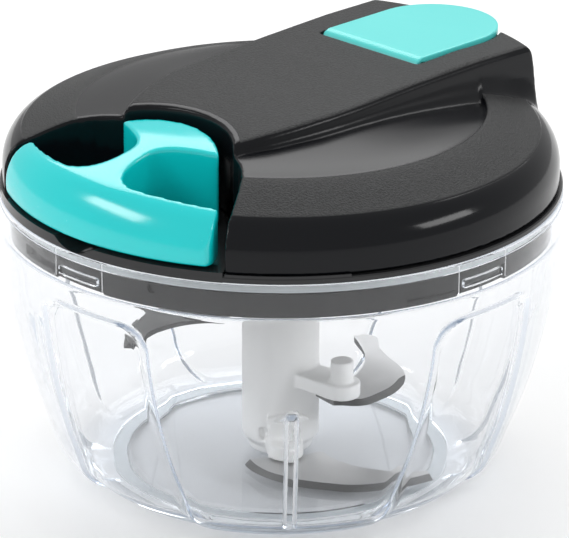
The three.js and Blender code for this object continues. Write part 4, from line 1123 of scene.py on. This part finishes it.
@dataclass
class LidCover:
    """Dark shell: glossy side, grained ring and strap, two glossy dishes and the handle's hollow."""

    plan: LidPlan = field(default_factory=LidPlan)
    wall: float = 2.2
    cavity_drop: float = 4.4
    edge_round: float = 1.7
    ring_sweep: float = 0.34
    dish_sweep: float = 0.62
    sink: float = 0.06
    dish_sink: float = 0.12
    grid: float = 0.6
    near_gaps: tuple[float, ...] = (
        -2.3, -1.75, -1.4, -1.1, -0.8, -0.5, -0.25, -0.08, 0.0, 0.12, 0.3, 0.55, 0.85, 1.2, 1.6,
        2.05, 2.55, 3.1, 3.7, 4.3, 4.9)
    edge_share: float = 0.6
    least_rise: float = 0.05
    cutter_gap: float = 0.4
    cutter_skin: float = 0.01
    block_margin: float = 5.2
    end_side: tuple[Point, ...] = (
        (64.6, 82.0), (64.5, 88.0), (64.2, 92.5), (63.7, 95.0), (62.7, 96.5), (61.2, 97.2), (59.0, 97.5))
    end_top: float = 99.0
    cutter_top: float = 130.0
    cutter_half: float = 67.0
    cutter_reach: float = 52.0
    sweep_fade: Point = (62.0, 38.0)
    drop_rise: Point = (-10.0, 50.0)
    drop_fade: Point = (17.0, 5.0)
    cavity_corner: Point = (62.2, 80.0)
    pocket_floor: float = 95.0
    barrel_room: float = 2.55
    barrel_slack: float = 0.5
    pin_radius: float = 1.1
    pin_length: float = 37.4
    guide_radius: float = 3.3
    guide_rise: float = 4.2
    lip_low: float = 84.5
    lip_back: float = -20.0
    lip_fade: Point = (3.0, 1.5)
    steps: int = 224
    voxel: float = 0.38
    faces: int = 180000

    def _dome_height(self, radius: float) -> float:
        """Height of the unbroken dome at a radius."""
        return lerp(self.crown_curve, radius)

    def _edge(self, x: float, y: float) -> float:
        """Radius that rounds the strap's edge, less where the strap is low."""
        rise = lerp(self.plan.strap_top, y) - self._dome_height(math.hypot(x, y))
        return min(self.edge_round, self.edge_share * max(self.least_rise, rise))

    def _sweep(self, x: float, y: float, gap: float, base: float) -> float:
        """Rise of the strap's side over its base, a quarter of an ellipse that runs out on the lid."""
        rise = lerp(self.plan.strap_top, y) - self._edge(x, y) - base
        dished = smoothstep(*self.sweep_fade, math.hypot(x, y))
        share = self.ring_sweep + (self.dish_sweep - self.ring_sweep) * dished
        reach = share * rise
        if rise <= 0 or gap >= reach:
            return 0.0
        return rise * (1 - math.sqrt(1 - (1 - gap / reach) ** 2))

    def _ring_floor(self, x: float, y: float, gap: float) -> float:
        """Surface beside the strap before the dishes are cut, just under the dome."""
        base = self._dome_height(math.hypot(x, y)) - self.sink
        return base + self._sweep(x, y, gap, base)

    def _dish_floor(self, x: float, y: float, gap: float) -> float:
        """Floor of the dishes, which leans down to the strap's foot at the back."""
        drop = self.plan.dish_drop * smoothstep(*self.drop_rise, y) * smoothstep(*self.drop_fade, gap)
        base = self._dome_height(math.hypot(x, y)) - (drop + self.dish_sink)
        return base + self._sweep(x, y, gap, base)

    def _block(self) -> Object:
        """Raised block that the strap is cut from."""
        plan = self.plan
        profile = [(plan.strap_front - 6, plan.strap_root), *rounded_path(plan.strap_top, 4),
                   (plan.end_radius + 6, lerp(plan.strap_top, 62.0)), (plan.end_radius + 6, plan.strap_root)]
        block = Bench.cross_slab("strap", profile, lerp(plan.strap_half, 0.0) + self.block_margin)
        root = plan.strap_root - 1
        side = rounded_path(self.end_side, 4)
        end = Bench.lathe("end", [(0, root), (self.end_side[0][0], root), *side, (0, self.end_top)], 192)
        return Bench.keep(block, end)

    def _cutter(self, name: str, floor: Callable[[float, float, float], float], side: int,
                rounded: bool) -> Object:
        """Space above a floor on one side of the strap, its columns running along the strap's edge.

        Args:
            name: Name of the new object.
            floor: Height of the floor for X, Y and the distance past the strap's edge.
            side: 1 for the right of the strap, -1 for the left.
            rounded: Whether the strap's edge is rounded too.

        Returns:
            The closed cutter.
        """
        gaps = list(self.near_gaps)
        while gaps[-1] < self.cutter_reach:
            gaps.append(gaps[-1] + self.grid)
        rows = [self.grid * i - self.cutter_half for i in range(round(2 * self.cutter_half / self.grid) + 1)]

        def place(gap: float, y: float) -> tuple[float, float, float]:
            x = side * (self.plan.strap_edge(y) + gap)
            if gap > 0:
                return x, y, floor(x, y, gap)
            edge, top = self._edge(x, y), lerp(self.plan.strap_top, y)
            over = gap + edge
            if over < 0 or not rounded:
                return x, y, top + self.cutter_gap
            return x, y, top - edge + math.sqrt(edge ** 2 - over ** 2) + self.cutter_skin

        return Bench.terrain(name, gaps, rows, self.cutter_top, place)

    def _shell(self) -> Object:
        """The outside of the cover, still solid."""
        plan = self.plan
        side, crown = rounded_path(plan.side, 4), rounded_path(plan.crown, 6)
        self.crown_curve = [*reversed(crown), *reversed(side[:-1])]
        dome = Bench.lathe("lid_cover_shell", [(0, plan.foot), *side, *crown[1:]], self.steps)
        block = self._block()
        for turn in (1, -1):
            Bench.cut(block, self._cutter("ring_cutter", self._ring_floor, turn, True))
        Bench.join(dome, block)
        for turn in (1, -1):
            dish = self._cutter("dish_cutter", self._dish_floor, turn, False)
            Bench.keep(dish, Bench.rod("limit", plan.dish_radius, UNDER, self.cutter_top + 10, steps=256))
            Bench.cut(dome, dish)
        return dome

    def _cavity(self) -> Object:
        """Room inside the shell, with walls left round the handle's hollow and under the hatch."""
        plan = self.plan
        roof = [(max(0.0, r - self.wall), z - self.cavity_drop) for r, z in plan.crown[2:-1]]
        inner = [(0, plan.foot - 3), (plan.radius - self.wall, plan.foot - 3), self.cavity_corner, *roof,
                 (0, plan.crown[-1][1] - self.cavity_drop)]
        room = Bench.lathe("cavity", inner, 128)
        return Bench.cut(room, Bench.slab("keep_walls", plan.recess_outline(self.wall), plan.foot - 5, OVER))

    def _hatch_room(self) -> list[Object]:
        """Pocket for the flap, groove for its barrel, seat for its pin and the mouth under it."""
        plan = self.plan
        half = plan.hatch_half + plan.hatch_gap
        axis = middle_of("hatch_pin")
        back, front = axis.y - self.barrel_room, axis.y + self.barrel_slack
        pocket = Bench.slab("pocket", tongue(half, axis.y, plan.hatch_round, 40), self.pocket_floor, OVER)
        groove = Bench.rod_along("groove", "X", self.barrel_room, axis, 2 * half)
        section = [(back, axis.z), (front, axis.z), (front, OVER), (back, OVER)]
        mouth = Bench.cross_slab("barrel_room", section, half)
        seat = Bench.rod_along("pin_seat", "X", self.pin_radius, axis, self.pin_length)
        chute = Bench.slab("chute", plan.chute_outline(0), UNDER, OVER)
        return [pocket, groove, mouth, seat, chute]

    def _lip(self, place: Vector) -> float:
        """Extra softening along the top edge of the handle's hollow."""
        plan = self.plan
        if place.z < self.lip_low or place.y > self.lip_back:
            return 0.0
        x, y = abs(place.x), place.y
        near = self.lip_fade[0]
        if x <= plan.recess_side[0][0]:
            near = abs(math.hypot(x, y - plan.recess_centre) - plan.recess_radius)
        for (x0, y0), (x1, y1) in zip(plan.recess_side, plan.recess_side[1:]):
            share = ((x - x0) * (x1 - x0) + (y - y0) * (y1 - y0)) / ((x1 - x0) ** 2 + (y1 - y0) ** 2)
            share = min(1.0, max(0.0, share))
            near = min(near, math.hypot(x - x0 - share * (x1 - x0), y - y0 - share * (y1 - y0)))
        return smoothstep(*self.lip_fade, near)

    def build(self, dark: bpy.types.Material) -> None:
        """Makes the cover."""
        plan = self.plan
        shell = self._shell()
        Bench.cut(shell, self._cavity())
        Bench.cut(shell, Bench.slab("recess", plan.recess_outline(0), plan.foot - 5, OVER))
        Bench.cut(shell, *self._hatch_room())
        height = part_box("cord_guide")[0].z / MM + self.guide_rise
        guide = Bench.rod_along("guide_hole", "Y", self.guide_radius, (0, -24.0, height), 12.0)
        Bench.cut(shell, guide)
        Bench.mould(shell, self.voxel, 5, self.faces, self._lip, 20)
        Bench.smooth(shell, 60)
        Piece(shell, "lid", "dark_plastic", ("lid_cover",)).settle(dark)


@dataclass(frozen=True)
class LidPlastic(Finish):
    """Dark plastic of the lid: grained where the mould is sparked, polished elsewhere."""

    plan: LidPlan
    name: str = "lid_dark_plastic"
    grained: Colour = (0.036, 0.037, 0.038, 1.0)
    polished: Colour = (0.004, 0.0045, 0.006, 1.0)
    # Painted shade: a darker colour in the grain's pits.
    pit_shade_colour: Colour = (0.012, 0.012, 0.012, 1.0)
    pit_shade_share: float = 0.6
    grain_size: float = 0.42
    grain_depth: float = 0.13
    grain_rough: float = 0.58
    gloss: Point = (0.12, 0.16)
    satin: float = 0.24
    satin_radii: Point = (58.0, 54.0)
    satin_heights: Point = (86.0, 87.5)
    specular: float = 0.22
    half_length: float = 70.0
    widest: float = 40.0
    ring_edge: Point = (-0.1, 0.25)
    strap_edge: Point = (-0.35, -0.75)
    shoulder_edge: Point = (-0.1, 0.2)
    facing: Point = (0.72, 0.84)
    lip_edge: Point = (1.5, 2.0)
    lip_side: Point = (20.0, 22.0)

    def _strap_gap(self, board: Board, across: Socket, y: Socket) -> Socket:
        """Distance past the strap's edge."""
        span, widest = self.half_length, self.widest
        along = board.add("ShaderNodeMapRange")
        board.feed(along.inputs["Value"], y)
        along.inputs["From Min"].default_value = -span * MM
        along.inputs["From Max"].default_value = span * MM
        table = [((depth + span) / (2 * span), half / widest) for depth, half in self.plan.strap_half]
        edge = board.math("MULTIPLY", board.curve(table, along.outputs["Result"]), widest * MM)
        return board.math("SUBTRACT", across, edge)

    def _grain_mask(self, board: Board) -> Socket:
        """1 on the ring round the dishes and on the strap's top, 0 elsewhere."""
        plan = self.plan
        _, x, y, z = board.place()
        across = board.math("ABSOLUTE", x)
        ring = board.band(board.radius(x, y), self.ring_edge, plan.dish_radius)
        strap = board.band(self._strap_gap(board, across, y), self.strap_edge)
        up = board.step(board.upward(), *self.facing)
        high = board.band(z, self.shoulder_edge, plan.shoulder)
        back = board.radius(x, board.math("SUBTRACT", y, plan.recess_centre * MM))
        lip = board.math("MAXIMUM", board.band(back, self.lip_edge, plan.recess_radius),
                         board.band(across, self.lip_side))
        mask = board.math("MAXIMUM", strap, ring)
        for limit in (up, high, lip):
            mask = board.math("MULTIPLY", mask, limit)
        return mask

    def build(self, effects: Effects) -> bpy.types.Material:
        """One material for the shell, split by the grain mask, with painted shade in the grain's pits."""
        material, board, shader, _ = self.board()
        place, x, y, z = board.place()
        mask = self._grain_mask(board)
        marks = effects.use(board, Effect.HANDLING, place)
        grain = effects.use(board, Effect.GRAIN, place, 1 / (self.grain_size * MM))
        # Painted shade in the grain's pits.
        pits = board.math("MULTIPLY", grain.outputs["Pits"], self.pit_shade_share)
        pit_shaded = board.blend(pits, self.grained, self.pit_shade_colour)
        board.feed(shader.inputs["Base Color"], board.blend(mask, self.polished, pit_shaded))
        top = board.math("MULTIPLY", board.band(board.radius(x, y), self.satin_radii),
                         board.band(z, self.satin_heights))
        gloss = board.mix(top, board.mix(marks.outputs["Smears"], *self.gloss), self.satin)
        board.feed(shader.inputs["Roughness"], board.mix(mask, gloss, self.grain_rough))
        height = board.math("MULTIPLY", grain.outputs["Height"], mask)
        board.feed(shader.inputs["Normal"], board.bump(height, self.grain_depth))
        shader.inputs["Specular IOR Level"].default_value = self.specular
        return material


@dataclass
class LidBase:
    """Skirt inside the rim with four channels, flange on the rim, plate, shelf under the handle and chute."""

    plan: LidPlan = field(default_factory=LidPlan)
    skirt_radius: float = 63.3
    skirt_inner: float = 60.5
    skirt_low: float = 62.6
    plate_low: float = 64.5
    plate_high: float = 66.7
    flange_low: float = 71.3
    flange_high: float = 72.7
    flange_radius: float = 65.8
    channel_floor: float = 62.2
    channel_half: float = 7.0
    channel_top: float = 66.5
    lock_angle: float = 12.0
    lug_low: float = 64.2
    pit_angle: float = -71.5
    tab_middle: float = -43.5
    tab_half: float = 12.3
    outside: float = 70.0
    groove: tuple[Point, ...] = ((61.8, 68.3), (66, 68.3), (66, 70.7), (61.8, 70.7))
    shaft_bore: float = 6.3
    pit_radius: float = 1.1
    pit_height: float = 67.0
    scoop_radius: float = 10.7
    scoop_depth: float = 2.2
    screw_seat: float = 3.0
    screw_hole: float = 1.7
    boss_radius: float = 9.0
    boss_low: float = 62.8
    chute_wall: float = 2.0
    chute_top: float = 90.4

    def _sector(self, name: str, inner: float, outer: float, low_deg: float, high_deg: float,
                low: float, high: float) -> Object:
        """Part of a ring between two angles and two heights."""
        steps = max(3, round((high_deg - low_deg) / 1.5))
        outline = [*arc(0, 0, outer, low_deg, high_deg, steps), *arc(0, 0, inner, high_deg, low_deg, steps)]
        return Bench.slab(name, outline, low, high)

    def _tools(self) -> list[Object]:
        """Channels, gasket groove, chute bore, shaft bore, scoop and screw holes."""
        tools = []
        half, inner, outer = self.channel_half, self.channel_floor, self.outside
        for quarter in QUARTERS:
            tools.append(self._sector("channel", inner, outer, quarter - half, quarter + half, UNDER,
                                      self.channel_top))
            tools.append(self._sector("lock", inner, outer, quarter - half - self.lock_angle, quarter,
                                      self.lug_low - 0.3, self.channel_top))
        tools.append(Bench.lathe("groove", self.groove, 160))
        tools.append(Bench.slab("chute_bore", self.plan.chute_outline(0), UNDER, 100.0))
        tools.append(Bench.rod("shaft_bore", self.shaft_bore, 58.0, self.outside))
        pit = Bench.rod_along("pit", "X", self.pit_radius, (self.skirt_radius, 0, self.pit_height), 1.4)
        tools.append(Bench.turned(pit, self.pit_angle))
        scoop = self.plan.recess_floor - self.scoop_depth + self.scoop_radius
        tools.append(Bench.rod_along("scoop", "Y", self.scoop_radius, (0, -62.0, scoop), 14.0))
        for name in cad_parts:
            if "screw" in name:
                at = tuple(middle_of(name).xy)
                tools.append(Bench.rod("screw_seat", self.screw_seat, UNDER, self.plate_low + 1.8, at, 24))
                tools.append(Bench.rod("screw_hole", self.screw_hole, UNDER, self.outside, at, 24))
        return tools

    def build(self, dark: bpy.types.Material) -> None:
        """Makes the lid's lower half."""
        plan = self.plan
        inner, skirt, flange = self.skirt_inner, self.skirt_radius, self.flange_radius
        section = [(0, self.plate_low), (inner, self.plate_low), (inner, self.skirt_low),
                   (skirt - 0.3, self.skirt_low), (skirt, self.skirt_low + 0.3), (skirt, self.flange_low),
                   (flange - 0.2, self.flange_low), (flange, self.flange_low + 0.2),
                   (flange, self.flange_high - 0.3), (flange - 0.3, self.flange_high),
                   (inner, self.flange_high), (inner, self.plate_high), (0, self.plate_high)]
        base = Bench.lathe("lid_lower_half", section, 240)
        boss = Bench.rod("bearing_boss", self.boss_radius, self.boss_low, self.plate_high, steps=64)
        Bench.join(base, boss)
        shelf = Bench.slab("shelf", plan.recess_outline(-0.3), self.flange_low, plan.recess_floor)
        Bench.keep(shelf, Bench.rod("disc", flange, UNDER, 90.0, steps=240))
        Bench.join(base, shelf)
        chute = Bench.slab("chute", plan.chute_outline(self.chute_wall), self.plate_low, self.chute_top)
        Bench.join(base, chute)
        middle, half = self.tab_middle, self.tab_half
        tab = self._sector("tab", 64.0, 65.6, middle - half, middle + half, self.flange_low + 0.1, 73.2)
        skin = self._sector("tab_room", 60.0, 65.15, middle - half - 2, middle + half + 2, 72.8, 75.0)
        Bench.join(base, Bench.cut(tab, skin))
        Bench.cut(base, *self._tools())
        Bench.smooth(base, 30)
        Piece(base, "lid", "dark_plastic", ("lid_base",)).settle(dark)


@dataclass
class PullHandle:
    """Teal handle: curved grip bar, web and inner crescent, with a finger well on each side."""

    foot: float = 74.3
    rise: float = 18.0
    bar_inner: float = 58.7
    bar_outer: float = 65.6
    corner: float = 2.6
    spread: float = 31.5
    arch: float = 2.3
    flat_radius: float = 29.5
    crescent_radius: float = 22.8
    crescent_middle: float = -51.9
    crescent_half: float = 15.3
    crescent_droop: float = 0.6
    cord_height: float = 78.9
    cord_hole: float = 1.5
    blank_radius: float = 70.0
    voxel: float = 0.3
    rounds: int = 40
    faces: int = 110000
    side: tuple[Point, ...] = (
        (65.2, 74.2), (65.5, 76.0), (65.5, 78.2), (65.0, 80.6), (64.0, 83.0), (62.6, 85.2), (61.0, 86.7),
        (59.4, 87.5))
    crown: tuple[Point, ...] = (
        (59.4, 87.5), (54.0, 88.6), (48.0, 89.8), (42.0, 91.1), (38.0, 91.9), (33.0, 92.3),
        (26.0, 92.5), (20.0, 92.5))
    well: tuple[Point, ...] = (
        (2.8, -44.2), (2.7, -46.5), (3.0, -49.8), (4.0, -53.2), (6.3, -56.0), (10.2, -57.4), (16.0, -56.4),
        (24.0, -53.5), (32.0, -49.2), (40.0, -44.6), (40.0, -30.0), (24.0, -30.4), (15.5, -35.7),
        (11.6, -37.6), (8.2, -39.3), (5.6, -40.8), (3.7, -42.5))

    def _outline(self) -> list[Point]:
        """Plan of the whole handle, wells still filled."""
        turn = math.degrees(self.corner / self.bar_outer)
        right = []
        for i in range(7):
            t = math.radians(15 * i)
            bend = self.spread - turn * (1 - math.sin(t))
            right.append(polar(self.bar_outer - self.corner * (1 - math.cos(t)), -90 + bend))
        reach = self.spread - turn
        bar = [*mirrored(right), *arc(0, 0, self.blank_radius, -90 - reach, -90 + reach, 40), *right]
        half = math.degrees(math.asin(self.crescent_half / self.crescent_radius))
        back = arc(0, self.crescent_middle, self.crescent_radius, 90 - half, 90 + half, 30)
        corner = polar(self.bar_inner, -90 + self.spread)
        return [*bar, corner, *back, (-corner[0], corner[1])]

    def _bend(self, handle: Object) -> None:
        """Lowers the bar and the crescent towards their ends, as the lid's crown falls there."""
        for v in handle.data.vertices:
            x, y, z = v.co / MM
            out = (math.hypot(x, y) - self.flat_radius) / (self.bar_inner - self.flat_radius)
            out = min(1.0, max(0.0, out))
            turn = math.degrees(math.atan2(x, -y)) / self.spread
            up = max(0.0, (z - self.foot) / self.rise)
            drop = self.arch * min(1.0, turn * turn) * out
            drop += self.crescent_droop * min(1.0, (x / self.crescent_half) ** 2) * (1 - out)
            v.co.z -= drop * up * MM

    def build(self, teal: bpy.types.Material) -> None:
        """Makes the handle."""
        top = self.crown[-1][1]
        inner = [(r, top) for r in (16.0, 12.0, 8.0, 4.0)]
        side, crown = rounded_path(self.side, 4), rounded_path(self.crown, 4)
        profile = [(0, self.foot), *side, *crown[1:], *inner, (0, top)]
        handle = Bench.lathe("teal_pull_handle", profile, 256)
        self._bend(handle)
        Bench.keep(handle, Bench.slab("plan", self._outline(), 70.0, 100.0))
        well = rounded_path(self.well, 5)
        for outline in (well, mirrored(well)):
            Bench.cut(handle, Bench.slab("well", outline, UNDER, OVER))
        hole = Bench.rod_along("cord_hole", "Y", self.cord_hole, (0, -33.0, self.cord_height), 14.0)
        Bench.cut(handle, hole)
        Bench.mould(handle, self.voxel, self.rounds, self.faces)
        Bench.smooth(handle, 60)
        Piece(handle, "handle", "teal_plastic", ("pull_handle",)).settle(teal)


@dataclass
class Hatch:
    """Pale teal flap with a rounded end, a hinge barrel and a plug ring."""

    plan: LidPlan = field(default_factory=LidPlan)
    top: float = 97.9
    thickness: float = 2.0
    barrel_radius: float = 2.2
    bore_radius: float = 1.1
    pin_radius: float = 0.8
    pin_length: float = 36.6
    plug_gap: float = 0.6
    plug_wall: float = 1.6
    plug_low: float = 94.3
    plug_high: float = 96.2
    hollow_top: float = 95.9
    voxel: float = 0.26
    faces: int = 60000

    def build(self, pale: bpy.types.Material, steel: bpy.types.Material) -> None:
        """Makes the flap and its pin."""
        plan = self.plan
        axis, half = middle_of("hatch_pin"), plan.hatch_half
        outline = tongue(half, axis.y, plan.hatch_round, 48)
        flap = Bench.slab("pale_teal_flap", outline, self.top - self.thickness, self.top)
        Bench.join(flap, Bench.rod_along("barrel", "X", self.barrel_radius, axis, 2 * half))
        plug = Bench.slab("plug", plan.chute_outline(-self.plug_gap, 40), self.plug_low, self.plug_high)
        inner = plan.chute_outline(-self.plug_gap - self.plug_wall, 40)
        Bench.cut(plug, Bench.slab("hollow", inner, 90, self.hollow_top))
        Bench.join(flap, plug)
        Bench.cut(flap, Bench.rod_along("pin_bore", "X", self.bore_radius, axis, 2 * half + 4))
        Bench.mould(flap, self.voxel, 3, self.faces)
        Bench.smooth(flap, 60)
        Piece(flap, "hatch", "pale_teal_plastic", ("hatch_flap",)).settle(pale)
        pin = Bench.rod_along("hatch_hinge_pin", "X", self.pin_radius, axis, self.pin_length)
        Bench.modify(pin, "BEVEL", width=0.2 * MM, segments=2, limit_method="ANGLE")
        Bench.smooth(pin)
        Piece(pin, "lid", "steel", ("hatch_pin",)).settle(steel)


@dataclass(frozen=True)
class BladePlan:
    """One blade's place on the shaft and its arm, in millimetres and degrees."""

    name: str
    tip: float
    low: float
    turn: float
    arm: float
    reach: float
    is_long: bool


@dataclass
class BladeSet:
    """White shaft with three arms and a peg, and three sickle blades."""

    radius: float = 9.2
    low: float = 4.8
    high: float = 62.0
    socket: float = 7.1
    socket_floor: float = 27.0
    arm_half: float = 4.4
    arm_thickness: float = 3.6
    blade_thickness: float = 1.2
    ground_width: float = 1.3
    foot: tuple[Point, ...] = ((7.7, 4.8), (7.9, 6.6), (9.0, 8.0), (9.2, 9.2))
    keeper_angle: float = -45.0
    keeper_half: float = 2.9
    keeper_reach: float = 1.6
    keeper_height: float = 10.7
    window_turn: float = 25.0
    window_half: float = 8.0
    window_low: float = 8.7
    window_high: float = 12.0
    window_depth: float = 1.4
    post_radius: float = 1.5
    hole_radius: float = 1.8
    peg_radius: float = 2.7
    peg_height: float = 9.0
    seat_gap: float = 0.3
    slot_gap: float = 0.35
    bore_radius: float = 2.3
    bore_top: float = 23.9
    room_radius: float = 5.6
    room_top: float = 7.9
    rib_inner: float = 4.6
    rib_half: float = 18.0
    rib_low: float = 52.6
    rib_high: float = 59.4
    voxel: float = 0.34
    faces: int = 90000
    long_cut: tuple[Point, ...] = (
        (-77, 0.38), (-58, 0.49), (-40, 0.60), (-25, 0.70), (-15, 0.79), (0, 0.893), (14, 1.0))
    long_back: tuple[Point, ...] = (
        (16, 0.945), (8, 0.79), (2, 0.60), (0, 0.42), (2, 0.31), (-28, 0.29), (-55, 0.30))
    short_cut: tuple[Point, ...] = (
        (-81, 0.61), (-76, 0.66), (-68, 0.765), (-57, 0.815), (-46, 0.87), (-35, 0.91))
    short_back: tuple[Point, ...] = (
        (-30, 0.92), (-19, 0.90), (-8, 0.873), (3, 0.895), (8, 0.935), (13, 1.0), (16, 1.01),
        (19, 0.99), (21, 0.94), (18, 0.86), (-26, 0.57), (-66, 0.42), (-80, 0.40))

    plans: tuple[BladePlan, ...] = (
        BladePlan("lower_blade", 41.4, 5.0, 0.0, -38.0, 15.6, True),
        BladePlan("middle_blade", 32.4, 21.0, 75.0, 4.0, 23.5, False),
        BladePlan("upper_blade", 41.4, 37.4, -120.0, -148.0, 21.0, True),
    )

    def _blade(self, plan: BladePlan) -> Object:
        """One blade: plate on its outline, with the cutting edge ground from above."""
        low = plan.low
        tables = (self.long_cut, self.long_back) if plan.is_long else (self.short_cut, self.short_back)
        edge, spine = (
            [polar(plan.tip * share, angle + plan.turn) for angle, share in rounded_path(table, 5)]
            for table in tables)
        blade = Bench.slab(plan.name + "_ground", [*edge, *spine], low, low + self.blade_thickness)
        inward = {}
        for i, (x, y) in enumerate(edge):
            (x0, y0), (x1, y1) = edge[max(0, i - 1)], edge[min(len(edge) - 1, i + 1)]
            length = math.hypot(x1 - x0, y1 - y0)
            inward[(round(x, 2), round(y, 2))] = (-(y1 - y0) / length, (x1 - x0) / length)
        for v in blade.data.vertices:
            key = (round(v.co.x / MM, 2), round(v.co.y / MM, 2))
            if v.co.z > (low + self.blade_thickness / 2) * MM and key in inward:
                dx, dy = inward[key]
                v.co.x += dx * self.ground_width * MM
                v.co.y += dy * self.ground_width * MM
        return blade

    def _arm(self, angle: float, reach: float, low: float) -> Object:
        """Rounded bar from the axis outwards."""
        half = self.arm_half
        outline = [(0, -half), *arc(reach - half, 0, half, -90, 90, 16), (0, half)]
        return Bench.turned(Bench.slab("arm", outline, low, low + self.arm_thickness), angle)

    def build(self, white: bpy.types.Material, steel: bpy.types.Material) -> None:
        """Makes the shaft and its blades."""
        profile = [(0, self.low), *self.foot, (self.radius, self.high), (0, self.high)]
        shaft = Bench.lathe("white_blade_shaft", profile, 96)
        self._keeper(shaft)
        slots = []
        for plan in self.plans:
            seat = plan.low + self.blade_thickness + self.seat_gap
            at = polar(plan.reach - self.arm_half, plan.arm)
            post = Bench.rod("post", self.post_radius, plan.low, seat + 0.5, at, 24)
            Bench.join(shaft, self._arm(plan.arm, plan.reach, seat), post)
            if plan.name == "middle_blade":
                Bench.join(shaft, Bench.rod("peg", self.peg_radius, seat, seat + self.peg_height, at, 40))
            blade = self._blade(plan)
            slot = Bench.copy(blade, "slot")
            Bench.modify(slot, "DISPLACE", strength=self.slot_gap * MM, mid_level=0.0)
            Bench.cut(slot, Bench.rod("post", self.post_radius, 0, UNDER, at, 24))
            slots.append(slot)
            Bench.cut(blade, Bench.rod("hole", self.hole_radius, 0, UNDER, at, 32))
            Bench.smooth(blade, 25)
            Piece(blade, "blades", "blade_steel", (plan.name,)).settle(steel)
        Bench.cut(shaft, Bench.rod("socket", self.socket, self.socket_floor, self.high + 8, steps=64))
        Bench.cut(shaft, Bench.rod("bore", self.bore_radius, 0.0, self.bore_top, steps=32))
        Bench.cut(shaft, Bench.rod("boss_room", self.room_radius, 0.0, self.room_top, steps=48))
        Bench.cut(shaft, *slots)
        self._ribs(shaft)
        Bench.mould(shaft, self.voxel, 3, self.faces)
        Bench.smooth(shaft, 60)
        Piece(shaft, "blades", "white_plastic", ("blade_shaft",)).settle(white)

    def _keeper(self, shaft: Object) -> None:
        """Block on the shaft's foot that holds the lowest blade, with a window on each side of it."""
        reach, half = self.radius + self.keeper_reach, self.keeper_half
        outline = [(0, -half), (reach - 0.6, -half), (reach, 0.6 - half), (reach, half - 0.6),
                   (reach - 0.6, half), (0, half)]
        keeper = Bench.slab("keeper", outline, self.low, self.low + self.keeper_height)
        Bench.join(shaft, Bench.turned(keeper, self.keeper_angle))
        for turn in (-self.window_turn, self.window_turn):
            middle, half = self.keeper_angle + turn, self.window_half
            outline = [*arc(0, 0, self.radius + 1, middle - half, middle + half, 6),
                       *arc(0, 0, self.radius - self.window_depth, middle + half, middle - half, 6)]
            Bench.cut(shaft, Bench.slab("window", outline, self.window_low, self.window_high))

    def _ribs(self, shaft: Object) -> None:
        """Three ribs in the socket that the lid's dogs push."""
        for middle in (60, 180, 300):
            low, high = middle - self.rib_half, middle + self.rib_half
            outline = [*arc(0, 0, self.socket + 0.3, low, high, 8), *arc(0, 0, self.rib_inner, high, low, 8)]
            Bench.join(shaft, Bench.slab("rib", outline, self.rib_low, self.rib_high))


class CarriedNodes:
    """The CAD nodes that stay as they are and only get their finish."""

    steel = ("pivot_pin", "reel_axle", "drive_bush")
    spring = ("return_spring", "shaft_clip")
    white = ("cord_reel", "drive_cup", "pawl_a", "pawl_b", "reel_housing", "cord_guide")
    soft = ("lid_gasket",)

    def dress(self, finishes: dict[str, bpy.types.Material]) -> None:
        """Gives each node its material."""
        screws = [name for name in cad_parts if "screw" in name]
        groups = {
            "steel": [*self.steel, *screws],
            "spring": self.spring,
            "white": self.white,
            "soft": self.soft,
        }
        for finish, names in groups.items():
            for name in names:
                self._paint(name, finishes[finish])

    @staticmethod
    def _paint(name: str, material: bpy.types.Material) -> None:
        """Sets one node's material slots."""
        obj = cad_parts[name]
        if not obj.material_slots:
            obj.data.materials.append(material)
        for slot in obj.material_slots:
            slot.material = material
        LOG.info("%s carried", name)


def make_finishes(plan: LidPlan) -> dict[str, bpy.types.Material]:
    """All materials, by the words the classes use.

    Args:
        plan: Sizes of the lid, which its grain follows.

    Returns:
        A material for each finish.
    """
    effects = Effects()
    kinds = {
        "clear": ClearPlastic(),
        "soft": Moulded("soft_silicone", (0.62, 0.66, 0.68, 1), (0.56, 0.6, 0.62, 1), 0.55),
        "lid": LidPlastic(plan),
        "dark": Moulded(
            "dark_plastic", (0.014, 0.0145, 0.016, 1), (0.02, 0.02, 0.021, 1), 0.16, specular=0.4),
        "teal": Moulded(
            "teal_plastic", (0.004, 0.66, 0.67, 1), (0.003, 0.63, 0.64, 1), 0.16, specular=0.7, glow=0.1),
        "pale": Moulded(
            "pale_teal_plastic", (0.1, 0.72, 0.69, 1), (0.09, 0.69, 0.66, 1), 0.3, 0.01, 0.6, glow=0.1),
        "white": Moulded(
            "white_plastic", (0.92, 0.92, 0.915, 1), (0.9, 0.9, 0.89, 1), 0.36, 0.008, 0.7, glow=0.12),
        # The blades carry a painted dark reflection on their ground bevels.
        "blade": Steel("blade_steel", (0.68, 0.68, 0.682, 1), 0.4, ground=(0.15, 0.15, 0.15, 1)),
        "steel": Steel("turned_steel", (0.6, 0.6, 0.61, 1), 0.3),
        "spring": Steel("spring_steel", (0.36, 0.37, 0.39, 1), 0.34),
    }
    return {word: finish.build(effects) for word, finish in kinds.items()}


def main() -> None:
    """Builds the stage and every piece in order."""
    logging.basicConfig(level=logging.INFO, format="%(message)s")
    Studio().build()
    plan = LidPlan()
    finishes = make_finishes(plan)
    Bowl().build(finishes["clear"], finishes["soft"])
    BladeSet().build(finishes["white"], finishes["blade"])
    LidBase(plan).build(finishes["dark"])
    LidCover(plan).build(finishes["lid"])
    PullHandle().build(finishes["teal"])
    Hatch(plan).build(finishes["pale"], finishes["steel"])
    CarriedNodes().dress(finishes)


if __name__ == "__main__":
    main()
